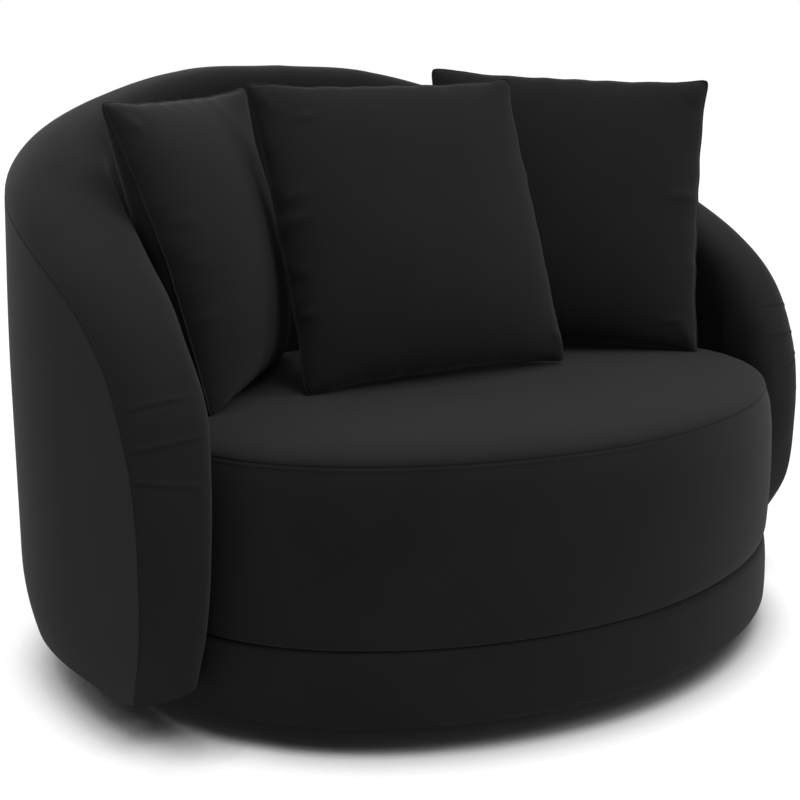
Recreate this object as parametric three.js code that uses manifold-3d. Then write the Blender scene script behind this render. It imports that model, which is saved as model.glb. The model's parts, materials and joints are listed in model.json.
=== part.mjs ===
// A cuddle chair: a wide tub armchair with a wrap-around back and arm shell, a D-shaped seat over an
// upholstered plinth, and three loose scatter cushions. Millimetres, +Z up, the chair faces -Y, and
// the origin lies on the floor at the middle of the footprint.

import * as THREE from "three";
import { mergeVertices } from "three/addons/utils/BufferGeometryUtils.js";
import Module from "manifold-3d";

const wasm = await Module();
wasm.setup();

// Overall sizes
const chairWidth = 1300;
const chairDepth = 979;
const backHeight = 865;

// Levels above the floor
const plinthBottomZ = 40;
const shellBottomZ = 66;
const grooveZ = 141;
const seatSeamZ = 360;
const seatTopZ = 398;

// Plan of the shell: a superellipse from the widest line to the back, straight along the arms
const backBowShare = 0.5557;
const backBowPower = 2.45;
const armReachShare = 0.1634;
const armThickness = 110;
const backThickness = 160;

// Rolled rim and arm front
const rimThickness = 158;
const rimRise = 66;
const rimPower = 3;
const rimEase = 60;
const creaseAngle = THREE.MathUtils.degToRad(32);
const tuckDepth = 16;
const tuckHeight = 110;
const topDraw = 8;
const topDrawFromZ = 430;

// Plan of the seat and plinth: a superellipse nose from the seat's widest line to the front
const noseShare = 0.3739;
const nosePower = 1.89;
const tubClearance = 4;

// Materials' thicknesses and the gaps between layers
const coverThickness = 3;
const layerGap = 0.4;
const boardThickness = 3;
const backPadding = 48;
const boardPly = 18;
const clothThickness = 1.2;
const seatGap = 0.4;

// Frame of the shell
const railGap = 2;
const railHeight = 36;
const railLift = 4;
const rimRailHeight = 24;
const rimRailDrop = 4;
const seatRailHeight = 20;
const seatRailTopZ = 362;
const postWidth = 42;
const postDepth = 30;
const strapRoom = 8;
const strapMarginShare = 0.27;
const dustInset = 6;
const postShares = [0.1389, -0.1389, 0.36, -0.36];
const postNames = ["right_back_post", "left_back_post", "right_arm_post", "left_arm_post"];
const strapStations = [14, 15, 16, 17];
const strapThickness = 2.5;

// Where parts lie from front to back, as shares of the chair's depth from its middle
const rimRailSplitShare = 0.041;
const seatRailEndShare = -0.2022;
const frontRailShare = -0.3289;
const backRailShare = 0.2022;
const frontFootShare = -0.2554;
const backFootShare = 0.1941;

// Frame of the base
const hoopInset = 16;
const hoopTopZ = 255;
const spliceLength = 66;
const spliceHeight = 150;
const joistWidth = 60;
const joistHeight = 42;
const springRailWidth = 45;
const springRailHeight = 45;
const springRailTopZ = 243;
const flangeWidth = 28;

// How far out the feet and the outermost springs stand, as shares of the seat's half width
const footSpreadShare = 0.541;
const springSpreadShare = 0.63;

// Springs and their clips
const springCount = 6;
const springWire = 3.8;
const springWidth = 52;
const springBends = 12;
const clipStripWidth = 26;
const clipThickness = 2.6;
const clipLugWidth = 18;
const clipLugLength = 12;
const feltThickness = 2.6;

// Feet
const footRadius = 30;
const footTopRadius = 34;
const footChamfer = 4;
const studRadius = 4;
const studLength = 26;
const studClearance = 0.4;

// Bolts that join shell and base
const boltRadius = 4;
const boltHeadRadius = 8;
const boltHeadHeight = 6;
const boltBite = 30;
const boltClearance = 0.4;
const boltHeadSlack = 2.8;
const boltZ = 92;

// Scatter cushions
const cushionCrown = 74;
const cushionDrawInShare = 0.05;
const cushionEarPower = 4;
const cushionEdge = 5;
const cushionPower = 0.45;
const cushionMargin = 9;
const fillGap = 0.5;
const cushionClearance = 0.9;
const zipLength = 300;
const zipThickness = 2;

// Each cushion's side as a share of the chair's width, and where it stands on the seat: across as a
// share of the seat's half width, back from the widest line as a share of the back's bow, and its
// turn, lean and roll in degrees.
const cushionShares = [
  { name: "front", side: 0.3646, across: -0.0606, back: 0.1143, turn: -8.6, lean: 19.9, roll: 0.9 },
  { name: "left", side: 0.3468, across: -0.5832, back: 0.3469, turn: 41, lean: 13.4, roll: 0.2 },
  { name: "right", side: 0.3682, across: 0.6074, back: 0.1684, turn: -41.1, lean: 17.9, roll: -2.8 },
];

// Colours of the fabric and of what it hides
const fabricColour = 0x232324;
const plyColour = 0xb58f5f;
const timberColour = 0xc09a6b;
const foamColour = 0xd9d3b6;
const waddingColour = 0xe6e4dd;
const steelColour = 0x8d9094;
const plasticColour = 0x151515;
const clothColour = 0x1b1b1c;
const strapColour = 0x35332e;

// The seam between the outer panel and the rim, walked from the middle of the back to the bottom of
// the arm front. Each row: reach along the walk and height above the shell's bottom, as shares of the
// full reach and of the back's seam height; the rim's rise as a share; the rim's thinning, from 0 at
// its thickest to 1 at the arm's thickness; the crease at the seam as a share of its full angle; and
// the foot of the section along the walk.
const seamShares = [
  [0, 1, 1, 0.54, 0, 0],
  [0.176, 0.985, 1, 0.54, 0, 0.176],
  [0.352, 0.936, 0.92, 0.54, 0, 0.352],
  [0.529, 0.881, 0.8, 0.3, 0.1, 0.529],
  [0.661, 0.827, 0.67, 0, 0.3, 0.661],
  [0.7665, 0.77, 0.53, 0.02, 0.55, 0.753],
  [0.885, 0.68, 0.43, 0.42, 0.8, 0.824],
  [0.947, 0.599, 0.39, 0.71, 0.95, 0.863],
  [0.979, 0.5157, 0.37, 0.71, 1, 0.885],
  [0.995, 0.4066, 0.37, 0.875, 1, 0.903],
  [0.998, 0.2688, 0.37, 1, 1, 0.916],
  [0.984, 0.131, 0.34, 1, 1, 0.925],
  [0.96, 0.0205, 0.26, 1, 1, 0.93],
];

// Profile of the seat border and the plinth: inset from the plan as a share of the deepest inset,
// and height as a share of the way up the border or the plinth.
const deepestInset = 16;
const borderShares = [
  [0.75, 0],
  [0.25, 0.15],
  [0, 0.45],
  [0.19, 0.75],
  [0.5, 0.88],
  [1, 1],
];
const plinthShares = [
  [0.75, 1],
  [0.45, 0.86],
  [0.1, 0.6],
  [0, 0.3],
  [0.1, 0.08],
  [0.4, 0],
];
const domeShares = [0.975, 0.93, 0.85, 0.7, 0.42];
const domePower = 10;

// How finely the curved forms are cut
const shellSteps = 16;
const stationSpreadShare = 0.3;
const panelRows = 5;
const panelRowPower = 1.8;
const rollGapShare = 0.08;
const rimRows = 6;
const innerRows = 5;
const noseSteps = 20;
const tubSteps = 20;
const cushionSteps = 10;
const fillSteps = 6;
const bendSteps = 3;
const leadSteps = 2;
const boreSides = 8;
const walkSamples = 600;
const wireSides = 4;
const mergeDistance = 1e-4;

const { clamp, lerp, smoothstep, degToRad } = THREE.MathUtils;

// Worked-out sizes
const halfWidth = chairWidth / 2;
const halfDepth = chairDepth / 2;
const backBowDepth = backBowShare * chairDepth;
const noseDepth = noseShare * chairDepth;
const armReach = armReachShare * chairDepth;
const widestY = halfDepth - backBowDepth;
const noseY = noseDepth - halfDepth;
const seatHalfWidth = halfWidth - armThickness - tubClearance;
const seamBackZ = backHeight - rimRise;
const layer = coverThickness + layerGap;
const rimRailSplitY = rimRailSplitShare * chairDepth;
const seatRailEndY = seatRailEndShare * chairDepth;
const frontRailY = frontRailShare * chairDepth;
const backRailY = backRailShare * chairDepth;
const frontFootY = frontFootShare * chairDepth;
const backFootY = backFootShare * chairDepth;
const footX = footSpreadShare * seatHalfWidth;
const joistX = footX;

// Closed bodies

// A solid from a geometry whose shared vertices are merged.
function solidOf(geometry) {
  const bare = geometry.index ? geometry.toNonIndexed() : geometry.clone();
  bare.deleteAttribute("normal");
  bare.deleteAttribute("uv");
  const merged = mergeVertices(bare, mergeDistance);
  return new wasm.Manifold(
    new wasm.Mesh({
      numProp: 3,
      vertProperties: merged.attributes.position.array,
      triVerts: new Uint32Array(merged.index.array),
    }),
  );
}

function geometryOf(solid) {
  const cut = solid.getMesh();
  return new THREE.BufferGeometry()
    .setAttribute("position", new THREE.BufferAttribute(cut.vertProperties, 3))
    .setIndex(new THREE.BufferAttribute(cut.triVerts, 1));
}

function bodyFrom(points, triangles) {
  const flat = new Float32Array(points.length * 3);
  points.forEach((p, i) => flat.set([p.x, p.y, p.z], 3 * i));
  return new THREE.BufferGeometry()
    .setAttribute("position", new THREE.BufferAttribute(flat, 3))
    .setIndex(triangles);
}

// A closed thick sheet: two faces over one grid, joined by walls round the rim of the grid. front is
// the face whose grid turns anticlockwise when it is looked at.
function thickSheet(columns, rows, front, back) {
  const points = [];
  const triangles = [];
  for (const face of [front, back])
    for (let i = 0; i <= columns; i++)
      for (let j = 0; j <= rows; j++) points.push(face(i / columns, j / rows));
  const far = (columns + 1) * (rows + 1);
  const at = (i, j) => i * (rows + 1) + j;
  const quad = (a, b, c, d) => triangles.push(a, b, c, a, c, d);
  for (let i = 0; i < columns; i++)
    for (let j = 0; j < rows; j++) {
      quad(at(i, j), at(i + 1, j), at(i + 1, j + 1), at(i, j + 1));
      quad(far + at(i, j), far + at(i, j + 1), far + at(i + 1, j + 1), far + at(i + 1, j));
    }
  for (let i = 0; i < columns; i++) {
    quad(at(i, 0), far + at(i, 0), far + at(i + 1, 0), at(i + 1, 0));
    quad(at(i + 1, rows), far + at(i + 1, rows), far + at(i, rows), at(i, rows));
  }
  for (let j = 0; j < rows; j++) {
    quad(at(0, j + 1), far + at(0, j + 1), far + at(0, j), at(0, j));
    quad(at(columns, j), far + at(columns, j), far + at(columns, j + 1), at(columns, j + 1));
  }
  return bodyFrom(points, triangles);
}

// A closed body through a row of closed loops, each turning anticlockwise from above, the first the
// lowest on the outside. A single point at either end closes it; without one the loops join up.
function loopBody(loops) {
  const points = [];
  const triangles = [];
  const starts = loops.map((loop) => {
    points.push(...loop);
    return points.length - loop.length;
  });
  const closed = loops[0].length > 1;
  const spans = closed ? loops.length : loops.length - 1;
  for (let k = 0; k < spans; k++) {
    const next = (k + 1) % loops.length;
    const count = Math.max(loops[k].length, loops[next].length);
    for (let i = 0; i < count; i++) {
      const j = (i + 1) % count;
      const a = starts[k] + (loops[k].length > 1 ? i : 0);
      const b = starts[k] + (loops[k].length > 1 ? j : 0);
      const c = starts[next] + (loops[next].length > 1 ? j : 0);
      const d = starts[next] + (loops[next].length > 1 ? i : 0);
      if (a !== b) triangles.push(a, b, d);
      if (c !== d) triangles.push(b, c, d);
    }
  }
  return bodyFrom(points, triangles);
}

function boxSolid(low, high) {
  const size = high.clone().sub(low);
  const box = new THREE.BoxGeometry(size.x, size.y, size.z);
  box.translate(low.x + size.x / 2, low.y + size.y / 2, low.z + size.z / 2);
  return solidOf(box);
}

const span = (x0, y0, z0, x1, y1, z1) =>
  boxSolid(new THREE.Vector3(x0, y0, z0), new THREE.Vector3(x1, y1, z1));

// The walk round the shell's plan

const walk = [];
for (let i = 0, length = 0; i <= walkSamples; i++) {
  const turn = ((i / walkSamples) * Math.PI) / 2;
  const x = halfWidth * Math.sin(turn) ** (2 / backBowPower);
  const y = widestY + backBowDepth * Math.cos(turn) ** (2 / backBowPower);
  const last = walk[i - 1];
  if (last) length += Math.hypot(x - last.x, y - last.y);
  walk.push({ x, y, length });
}
const backWalk = walk[walkSamples].length;
const fullReach = backWalk + armReach;

// The outer plan at a distance along the walk from the middle of the back, positive to +X: the point
// and the way out.
function planAt(reach) {
  const side = Math.sign(reach) || 1;
  const along = Math.abs(reach);
  if (along >= backWalk)
    return { x: side * halfWidth, y: widestY - (along - backWalk), nx: side, ny: 0 };
  let k = 1;
  while (walk[k].length < along) k++;
  const share = (along - walk[k - 1].length) / (walk[k].length - walk[k - 1].length);
  const x = lerp(walk[k - 1].x, walk[k].x, share);
  const y = lerp(walk[k - 1].y, walk[k].y, share);
  const gx = (x / halfWidth) ** (backBowPower - 1) / halfWidth;
  const gy = ((y - widestY) / backBowDepth) ** (backBowPower - 1) / backBowDepth;
  const size = Math.hypot(gx, gy);
  return { x: side * x, y, nx: (side * gx) / size, ny: gy / size };
}

// A point of the shell: along the walk, up, and in from the outer face.
function shellAt(reach, z, depth) {
  const plan = planAt(reach);
  return new THREE.Vector3(plan.x - plan.nx * depth, plan.y - plan.ny * depth, z);
}

// Depth of the inner face at seat level.
function seatDepthAt(reach) {
  const share = clamp(Math.abs(reach) / backWalk, 0, 1);
  return lerp(backThickness, armThickness, (1 - Math.cos(Math.PI * share)) / 2);
}

// The outer panel curves in to its foot, where the frame behind it is cut straight, and leans in a
// little towards the back's seam.
const tuckShare = (z) => 1 - clamp((z - shellBottomZ) / tuckHeight, 0, 1);
const tuckAt = (z) => tuckDepth * tuckShare(z) ** 2 + topDraw * smoothstep(z, topDrawFromZ, seamBackZ);

// The seam line and what goes with it

const seamLine = new THREE.CatmullRomCurve3(
  seamShares.map(([reach, up]) => {
    const z = lerp(shellBottomZ, seamBackZ, up);
    return new THREE.Vector3(reach * fullReach, z, 0);
  }),
);
const footLine = new THREE.CatmullRomCurve3(
  seamShares.map((row) => new THREE.Vector3(row[5] * fullReach, 0, 0)),
);
const rimLine = new THREE.CatmullRomCurve3(
  seamShares.map(([, , rise, thin, crease]) => new THREE.Vector3(rise, thin, crease)),
);

// Everything about the section at a share of the way from the middle of the back (0) to the bottom
// of the arm front (1, or -1 on the left).
function sectionAt(share) {
  const side = Math.sign(share) || 1;
  const t = Math.abs(share);
  const seam = seamLine.getPoint(t);
  const tangent = seamLine.getTangent(t);
  const rim = rimLine.getPoint(t);
  const half = lerp(rimThickness, armThickness, clamp(rim.y, 0, 1)) / 2;
  const crease = creaseAngle * clamp(rim.z, 0, 1);
  const across = (2 * half) / (1 + Math.cos(crease));
  return {
    side,
    reach: seam.x,
    z: seam.y,
    outward: new THREE.Vector2(-tangent.y, tangent.x).normalize(),
    foot: footLine.getPoint(t).x,
    half,
    crease,
    across,
    rise: (rimRise * rim.x) / (1 - Math.sin(crease)),
  };
}

// A point on a layer of the shell. turn runs from 0 at the foot of the outer face to 1 at the seam,
// to 2 where the rim meets the inner face, to 3 at the foot of the inner face. under is how far the
// layer lies below the finished surface.
function layerPoint(share, turn, under) {
  const s = sectionAt(share);
  if (turn <= 1) {
    const reach = lerp(s.foot, s.reach, turn);
    const z = lerp(shellBottomZ, s.z, turn);
    return shellAt(s.side * reach, z, tuckAt(z) + under);
  }
  const angle = lerp(s.crease, Math.PI, Math.min(turn - 1, 1));
  const power = angle > Math.PI / 2 ? 2 / rimPower : 1;
  const rise = Math.max(Math.sin(angle), 0) ** power;
  const across = Math.sign(Math.cos(angle)) * Math.abs(Math.cos(angle)) ** power;
  const beyond = (s.rise - under) * (rise - Math.sin(s.crease));
  const rimReach = s.reach + s.outward.x * beyond;
  const rimZ = Math.max(s.z + s.outward.y * beyond, shellBottomZ);
  if (turn <= 2) {
    const tuck = (tuckAt(s.z) * (1 + across)) / 2;
    const depth = 2 * s.half - s.across - (s.across - under) * across;
    return shellAt(s.side * rimReach, rimZ, depth + tuck);
  }
  const reach = lerp(rimReach, s.foot, turn - 2);
  const z = lerp(rimZ, shellBottomZ, turn - 2);
  const full = 2 * s.half;
  const low = smoothstep(rimZ - z, 0, Math.max(rimZ - seatTopZ, rimEase));
  return shellAt(s.side * reach, z, lerp(full, seatDepthAt(reach), low) - under);
}

// The stations lie closer together where the arm fronts curve over than they do round the back.
function stationShare(u) {
  const along = lerp(1, -1, u);
  return Math.sign(along) * lerp(Math.abs(along), along ** 2, stationSpreadShare);
}

// A layer between two turns of the section, from one arm front round to the other.
function shellLayer(rows, turnAt, outer, inner) {
  return thickSheet(
    2 * shellSteps,
    rows,
    (u, v) => layerPoint(stationShare(u), turnAt(v), outer(turnAt(v))),
    (u, v) => layerPoint(stationShare(u), turnAt(v), inner(turnAt(v))),
  );
}

// The outer panel's rows crowd towards its tucked foot, and stop just short of the seam.
const panelTurn = (v) => (1 - layerGap / (seamBackZ - shellBottomZ)) * v ** panelRowPower;
const rimTurn = (v) => {
  const row = v * (rimRows + innerRows);
  return row <= rimRows ? 1 + row / rimRows : 2 + (row - rimRows) / innerRows;
};

// How deep the frame may reach at the rim before it meets the straps in front of it.
const rimLimit = (section) => 2 * section.half - layer - backPadding - strapRoom;
const seatLimit = (reach) => seatDepthAt(reach) - layer - backPadding - strapRoom;

// Plan of the seat and plinth

const basePlan = [];
for (let i = 0; i < noseSteps; i++) {
  const turn = Math.PI * (i / noseSteps);
  const c = -Math.cos(turn);
  const x = seatHalfWidth * Math.sign(c) * Math.abs(c) ** (2 / nosePower);
  const y = noseY - noseDepth * Math.sin(turn) ** (2 / nosePower);
  basePlan.push(new THREE.Vector2(x, y));
}
const tubWalk = backWalk + widestY - noseY;
for (let i = 0; i < tubSteps; i++) {
  const reach = lerp(tubWalk, -tubWalk, i / tubSteps);
  const p = shellAt(reach, 0, seatDepthAt(reach) + tubClearance);
  basePlan.push(new THREE.Vector2(p.x, p.y));
}
const planCount = basePlan.length;
const baseOut = basePlan.map((p, i) => {
  const before = basePlan[(i + planCount - 1) % planCount];
  const after = basePlan[(i + 1) % planCount];
  return new THREE.Vector2(after.y - before.y, before.x - after.x).normalize();
});
const domeCentre = new THREE.Vector2(0, (noseY + widestY) / 2);

function baseLoop(inset, z) {
  return basePlan.map(
    (p, i) => new THREE.Vector3(p.x - baseOut[i].x * inset, p.y - baseOut[i].y * inset, z),
  );
}

// The crowned top: loops drawn in from the seam towards the middle.
const domeHeight = (share) => Math.sqrt(1 - share ** domePower);

function domeLoops(under) {
  const rim = baseLoop(deepestInset + under, 0);
  const loops = domeShares.map((share) =>
    rim.map((p) => {
      const x = lerp(domeCentre.x, p.x, share);
      const y = lerp(domeCentre.y, p.y, share);
      return new THREE.Vector3(x, y, lerp(seatSeamZ, seatTopZ, domeHeight(share)) - under);
    }),
  );
  loops.push([new THREE.Vector3(domeCentre.x, domeCentre.y, seatTopZ - under)]);
  return loops;
}

const borderLoop = (row, under) =>
  baseLoop(row[0] * deepestInset + under, lerp(grooveZ, seatSeamZ, row[1]));
const borderLoopAt = (z, under) => {
  const share = (z - grooveZ) / (seatSeamZ - grooveZ);
  const k = borderShares.findIndex((row) => row[1] >= share);
  const [low, high] = [borderShares[k - 1], borderShares[k]];
  const inset = lerp(low[0], high[0], (share - low[1]) / (high[1] - low[1]));
  return baseLoop(inset * deepestInset + under, z);
};
const discOf = (inset, low, high) => {
  const centre = (z) => [new THREE.Vector3(domeCentre.x, domeCentre.y, z)];
  return loopBody([centre(low), baseLoop(inset, low), baseLoop(inset, high), centre(high)]);
};
const bandOf = (outer, inner, low, high) =>
  loopBody([baseLoop(outer, low), baseLoop(outer, high), baseLoop(inner, high), baseLoop(inner, low)]);

// Materials

const look = (color, roughness, metalness) =>
  new THREE.MeshStandardMaterial({ color, roughness, metalness });
const fabric = look(fabricColour, 0.92, 0);
const ply = look(plyColour, 0.7, 0);
const timber = look(timberColour, 0.75, 0);
const foam = look(foamColour, 0.95, 0);
const wadding = look(waddingColour, 0.98, 0);
const steel = look(steelColour, 0.4, 1);
const plastic = look(plasticColour, 0.5, 0);
const cloth = look(clothColour, 0.9, 0);
const strapping = look(strapColour, 0.85, 0);

const chair = new THREE.Group();

function addPiece(name, geometry, material, parent = chair) {
  const mesh = new THREE.Mesh(geometry, material);
  mesh.name = name;
  parent.add(mesh);
  return mesh;
}
const addSolid = (name, solid, material) => addPiece(name, geometryOf(solid), material);

// Bolts between shell and base, worked out first because what they pass through is drilled

const boltReaches = [backWalk - spliceLength, backWalk / 4];
const boltSpots = boltReaches.flatMap((reach) => [reach, -reach]);
const boltNames = ["right_arm_bolt", "left_arm_bolt", "right_back_bolt", "left_back_bolt"];
const hoopInner = hoopInset + boardPly;

// A round bar along the plan's way out, between two depths from the outer face.
function barAcross(reach, radius, near, far) {
  const bar = new THREE.CylinderGeometry(radius, radius, far - near, boreSides);
  bar.translate(0, (near + far) / 2, 0);
  const plan = planAt(reach);
  const inward = new THREE.Vector3(-plan.nx, -plan.ny, 0);
  const turn = new THREE.Quaternion().setFromUnitVectors(new THREE.Vector3(0, 1, 0), inward);
  bar.applyQuaternion(turn);
  bar.translate(plan.x, plan.y, boltZ);
  return solidOf(bar);
}

const boltSpan = (reach) => {
  const ring = seatDepthAt(reach) - layer - backPadding - railGap;
  const head = seatDepthAt(reach) + tubClearance + hoopInner + boltHeadSlack;
  return { tip: ring - boltBite, head };
};

function drilled(solid) {
  return boltSpots.reduce((left, reach) => {
    const { tip, head } = boltSpan(reach);
    const bore = boltRadius + boltClearance;
    return left.subtract(barAcross(reach, bore, tip - boltClearance, head + boltHeadHeight));
  }, solid);
}

boltSpots.forEach((reach, i) => {
  const { tip, head } = boltSpan(reach);
  const shank = barAcross(reach, boltRadius, tip, head + boltHeadHeight / 2);
  const cap = barAcross(reach, boltHeadRadius, head, head + boltHeadHeight);
  addSolid(boltNames[i], shank.add(cap), steel);
});

// Covers and padding of the shell

const faceOf = () => 0;
const coverBack = () => coverThickness;
const nextLayer = () => layer;
const boardBack = () => layer + boardThickness;
const wrapRows = rimRows + innerRows;
const outerCover = shellLayer(panelRows, panelTurn, faceOf, coverBack);
const outerBoard = shellLayer(panelRows, panelTurn, nextLayer, boardBack);
const innerCover = shellLayer(wrapRows, rimTurn, faceOf, coverBack);
const paddingBack = () => layer + backPadding;
// The back pad has the cover's own rows, and its top row stops short of the rim's foam roll.
function paddingPoint(share, row, under) {
  if (row > 0) return layerPoint(share, 2 + row / innerRows, under);
  const top = layerPoint(share, 2, under + layerGap);
  return top.lerp(layerPoint(share, 2 + 1 / innerRows, under + layerGap), rollGapShare);
}
const padding = thickSheet(
  2 * shellSteps,
  innerRows,
  (u, v) => paddingPoint(stationShare(u), v * innerRows, layer),
  (u, v) => paddingPoint(stationShare(u), v * innerRows, paddingBack()),
);
addPiece("outer_back_cover", outerCover, fabric);
addPiece("outer_back_board", outerBoard, ply);
addSolid("inner_back_cover", drilled(solidOf(innerCover)), fabric);
addSolid("back_padding", drilled(solidOf(padding)), foam);

// The foam roll under the rim: the rim's own curve with a flat underside over the top rail.
const rollSection = (share) => {
  const curve = Array.from({ length: rimRows + 1 }, (_, i) => layerPoint(share, 1 + i / rimRows, layer));
  return [...curve, layerPoint(share, 2, paddingBack())];
};
const rollSections = Array.from({ length: 2 * shellSteps + 1 }, (_, i) =>
  rollSection(-stationShare(i / (2 * shellSteps))),
);
const middleOf = (points) =>
  points.reduce((sum, point) => sum.add(point), new THREE.Vector3()).divideScalar(points.length);
const endOf = (points) => [middleOf(points)];
addPiece(
  "rim_padding",
  loopBody([endOf(rollSections[0]), ...rollSections, endOf(rollSections.at(-1))]),
  foam,
);

// Frame of the shell: three rails round it, posts between them, and straps over the open back

const skinDepth = layer + boardThickness + railGap;
const railNear = tuckDepth + skinDepth;
const rimNear = topDraw + skinDepth;

// A bar with four corners at every station: v runs up it, w runs in through it.
function shellBar(corner) {
  const at = (u, v, w) => corner(sectionAt(stationShare(u)), v, w);
  return solidOf(thickSheet(2 * shellSteps, 1, (u, v) => at(u, v, 0), (u, v) => at(u, v, 1)));
}

const footEnd = seamShares.at(-1)[5] * fullReach;
const footEndY = widestY - (footEnd - backWalk);
const dustEndY = footEndY + dustInset;

// The same stations as the covers, but stretched along the straight arms to a new end.
function railReach(section, endY) {
  const end = backWalk + widestY - endY;
  const along = Math.max(section.foot - backWalk, 0) / (footEnd - backWalk);
  return section.side * lerp(Math.min(section.foot, backWalk), end, along);
}

const rimRailPoint = (section, drop, depth) =>
  shellAt(
    section.side * (section.reach - section.outward.x * drop),
    section.z - section.outward.y * drop,
    depth,
  );
const rimBar = (slack) =>
  shellBar((section, v, w) => {
    const drop = rimRailDrop + lerp(rimRailHeight + slack, -slack, v);
    const near = rimNear + tuckDepth * tuckShare(section.z - section.outward.y * drop);
    return rimRailPoint(section, drop, lerp(near - slack, rimLimit(section) + slack, w));
  });
const rimRail = rimBar(0);
const rimRoom = rimBar(seatGap);
const outside = chairWidth + chairDepth;
const before = (y) => span(-outside, -outside, -outside, outside, y, outside);
const behind = (y) => span(-outside, y, -outside, outside, outside, outside);
const leftOf = span(-outside, -outside, -outside, 0, outside, outside);
const rightOf = span(0, -outside, -outside, outside, outside, outside);
const armBars = rimRail.intersect(before(rimRailSplitY - seatGap));
addSolid("top_rail", rimRail.intersect(behind(rimRailSplitY)), ply);
addSolid("left_arm_profile", armBars.intersect(leftOf), ply);
addSolid("right_arm_profile", armBars.intersect(rightOf), ply);

const railBottomZ = shellBottomZ + railLift;
const railTopZ = railBottomZ + railHeight;
const bottomRail = shellBar((section, v, w) => {
  const reach = railReach(section, footEndY);
  const far = seatDepthAt(reach) - layer - backPadding - railGap;
  return shellAt(reach, lerp(railBottomZ, railTopZ, v), lerp(railNear, far, w));
});
addSolid("bottom_rail", drilled(bottomRail.subtract(rimRoom)), timber);

const postBar = (share, slack) => {
  const section = sectionAt(share);
  const half = postWidth / 2 + slack;
  const top = section.z - rimRailDrop - rimRailHeight / 2;
  const corner = (u, v, depth) =>
    shellAt(section.side * section.reach + lerp(half, -half, u), lerp(railTopZ + seatGap, top, v), depth);
  const near = (u, v) => corner(u, v, railNear - slack);
  const far = (u, v) => corner(u, v, railNear + postDepth + slack);
  return solidOf(thickSheet(1, 1, near, far));
};
const seatRailPoint = (section, v, depth) =>
  shellAt(railReach(section, seatRailEndY), lerp(seatRailTopZ - seatRailHeight, seatRailTopZ, v), depth);
const seatRail = shellBar((section, v, w) => {
  const reach = railReach(section, seatRailEndY);
  return seatRailPoint(section, v, lerp(skinDepth, seatLimit(reach), w));
});
const notched = postShares.reduce((left, share) => left.subtract(postBar(share, seatGap)), seatRail);
addSolid("seat_level_rail", notched.subtract(rimRoom), ply);
postShares.forEach((share, i) => {
  addSolid(postNames[i], postBar(share, 0).subtract(rimRoom), timber);
});

// A strap lies between two stations: up the seat-level rail, across the gap and up the top rail.
function strapAt(station) {
  const point = (share, row, under) => {
    const section = sectionAt(share);
    const reach = railReach(section, seatRailEndY);
    if (row < 2) return seatRailPoint(section, row, seatLimit(reach) + seatGap + under);
    const drop = rimRailDrop + (row < 3 ? rimRailHeight : 0);
    return rimRailPoint(section, drop, rimLimit(section) + seatGap + under);
  };
  const face = (u, v, under) => {
    const row = Math.round(3 * v);
    const from = point(stationShare(station / (2 * shellSteps)), row, under);
    const to = point(stationShare((station + 1) / (2 * shellSteps)), row, under);
    return from.lerp(to, lerp(strapMarginShare, 1 - strapMarginShare, u));
  };
  return thickSheet(1, 3, (u, v) => face(u, v, 0), (u, v) => face(u, v, strapThickness));
}
strapStations.forEach((station, i) => {
  addPiece(`back_strap_${i + 1}`, strapAt(station), strapping);
});

const shellDust = shellBar((section, v, w) => {
  const reach = railReach(section, dustEndY);
  const z = lerp(shellBottomZ - seatGap - clothThickness, shellBottomZ - seatGap, v);
  return shellAt(reach, z, lerp(tuckDepth + layer, seatDepthAt(reach) - layer, w));
});
addSolid("shell_dust_cover", shellDust, cloth);

// Plinth: a padded cover turned in under the frame and up into the groove

const plinthLoop = (row, under) =>
  baseLoop(row[0] * deepestInset + under, lerp(plinthBottomZ, grooveZ - layerGap, row[1]));
const plinthFace = plinthShares.toReversed().map((row) => plinthLoop(row, 0));
const plinthBack = plinthShares.map((row) => plinthLoop(row, coverThickness));
const flangeZ = plinthBottomZ + coverThickness;
plinthBack[plinthBack.length - 1] = baseLoop(coverThickness + deepestInset / 2, flangeZ);
const plinthCover = loopBody([
  ...plinthFace,
  ...plinthBack,
  baseLoop(flangeWidth, flangeZ),
  baseLoop(flangeWidth, plinthBottomZ),
]);
addSolid("plinth_cover", drilled(solidOf(plinthCover)), fabric);

const hoopBottomZ = flangeZ + layerGap;
const waddingShares = plinthShares.slice(1, -1);
const plinthPad = loopBody([
  baseLoop(layer + deepestInset / 2, hoopBottomZ),
  ...waddingShares.toReversed().map((row) => plinthLoop(row, layer)),
  baseLoop(hoopInset - layerGap, lerp(plinthBottomZ, grooveZ, waddingShares[0][1])),
  baseLoop(hoopInset - layerGap, hoopBottomZ),
]);
addSolid("plinth_wadding", drilled(solidOf(plinthPad)), wadding);

// Hoop of bent ply in two halves, with a splice plate inside each side

const hoop = drilled(solidOf(bandOf(hoopInset, hoopInner, hoopBottomZ, hoopTopZ)));
const spliceY = (widestY + noseY) / 2;
addSolid("front_hoop", hoop.intersect(before(spliceY - seatGap / 2)), ply);
addSolid("back_hoop", hoop.intersect(behind(spliceY + seatGap / 2)), ply);

const insideHoop = solidOf(discOf(hoopInner + seatGap, 0, hoopTopZ));
const spliceZ = (hoopBottomZ + hoopTopZ) / 2;
for (const side of [-1, 1]) {
  const outerX = seatHalfWidth;
  const innerX = seatHalfWidth - hoopInner - boardPly;
  const plate = span(
    side > 0 ? innerX : -outerX,
    spliceY - spliceLength / 2,
    spliceZ - spliceHeight / 2,
    side > 0 ? outerX : -innerX,
    spliceY + spliceLength / 2,
    spliceZ + spliceHeight / 2,
  );
  const name = side > 0 ? "right_hoop_splice" : "left_hoop_splice";
  addSolid(name, plate.intersect(insideHoop), ply);
}

// Joists across the bottom, spring rails across the top and the shelf in the nose

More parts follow.
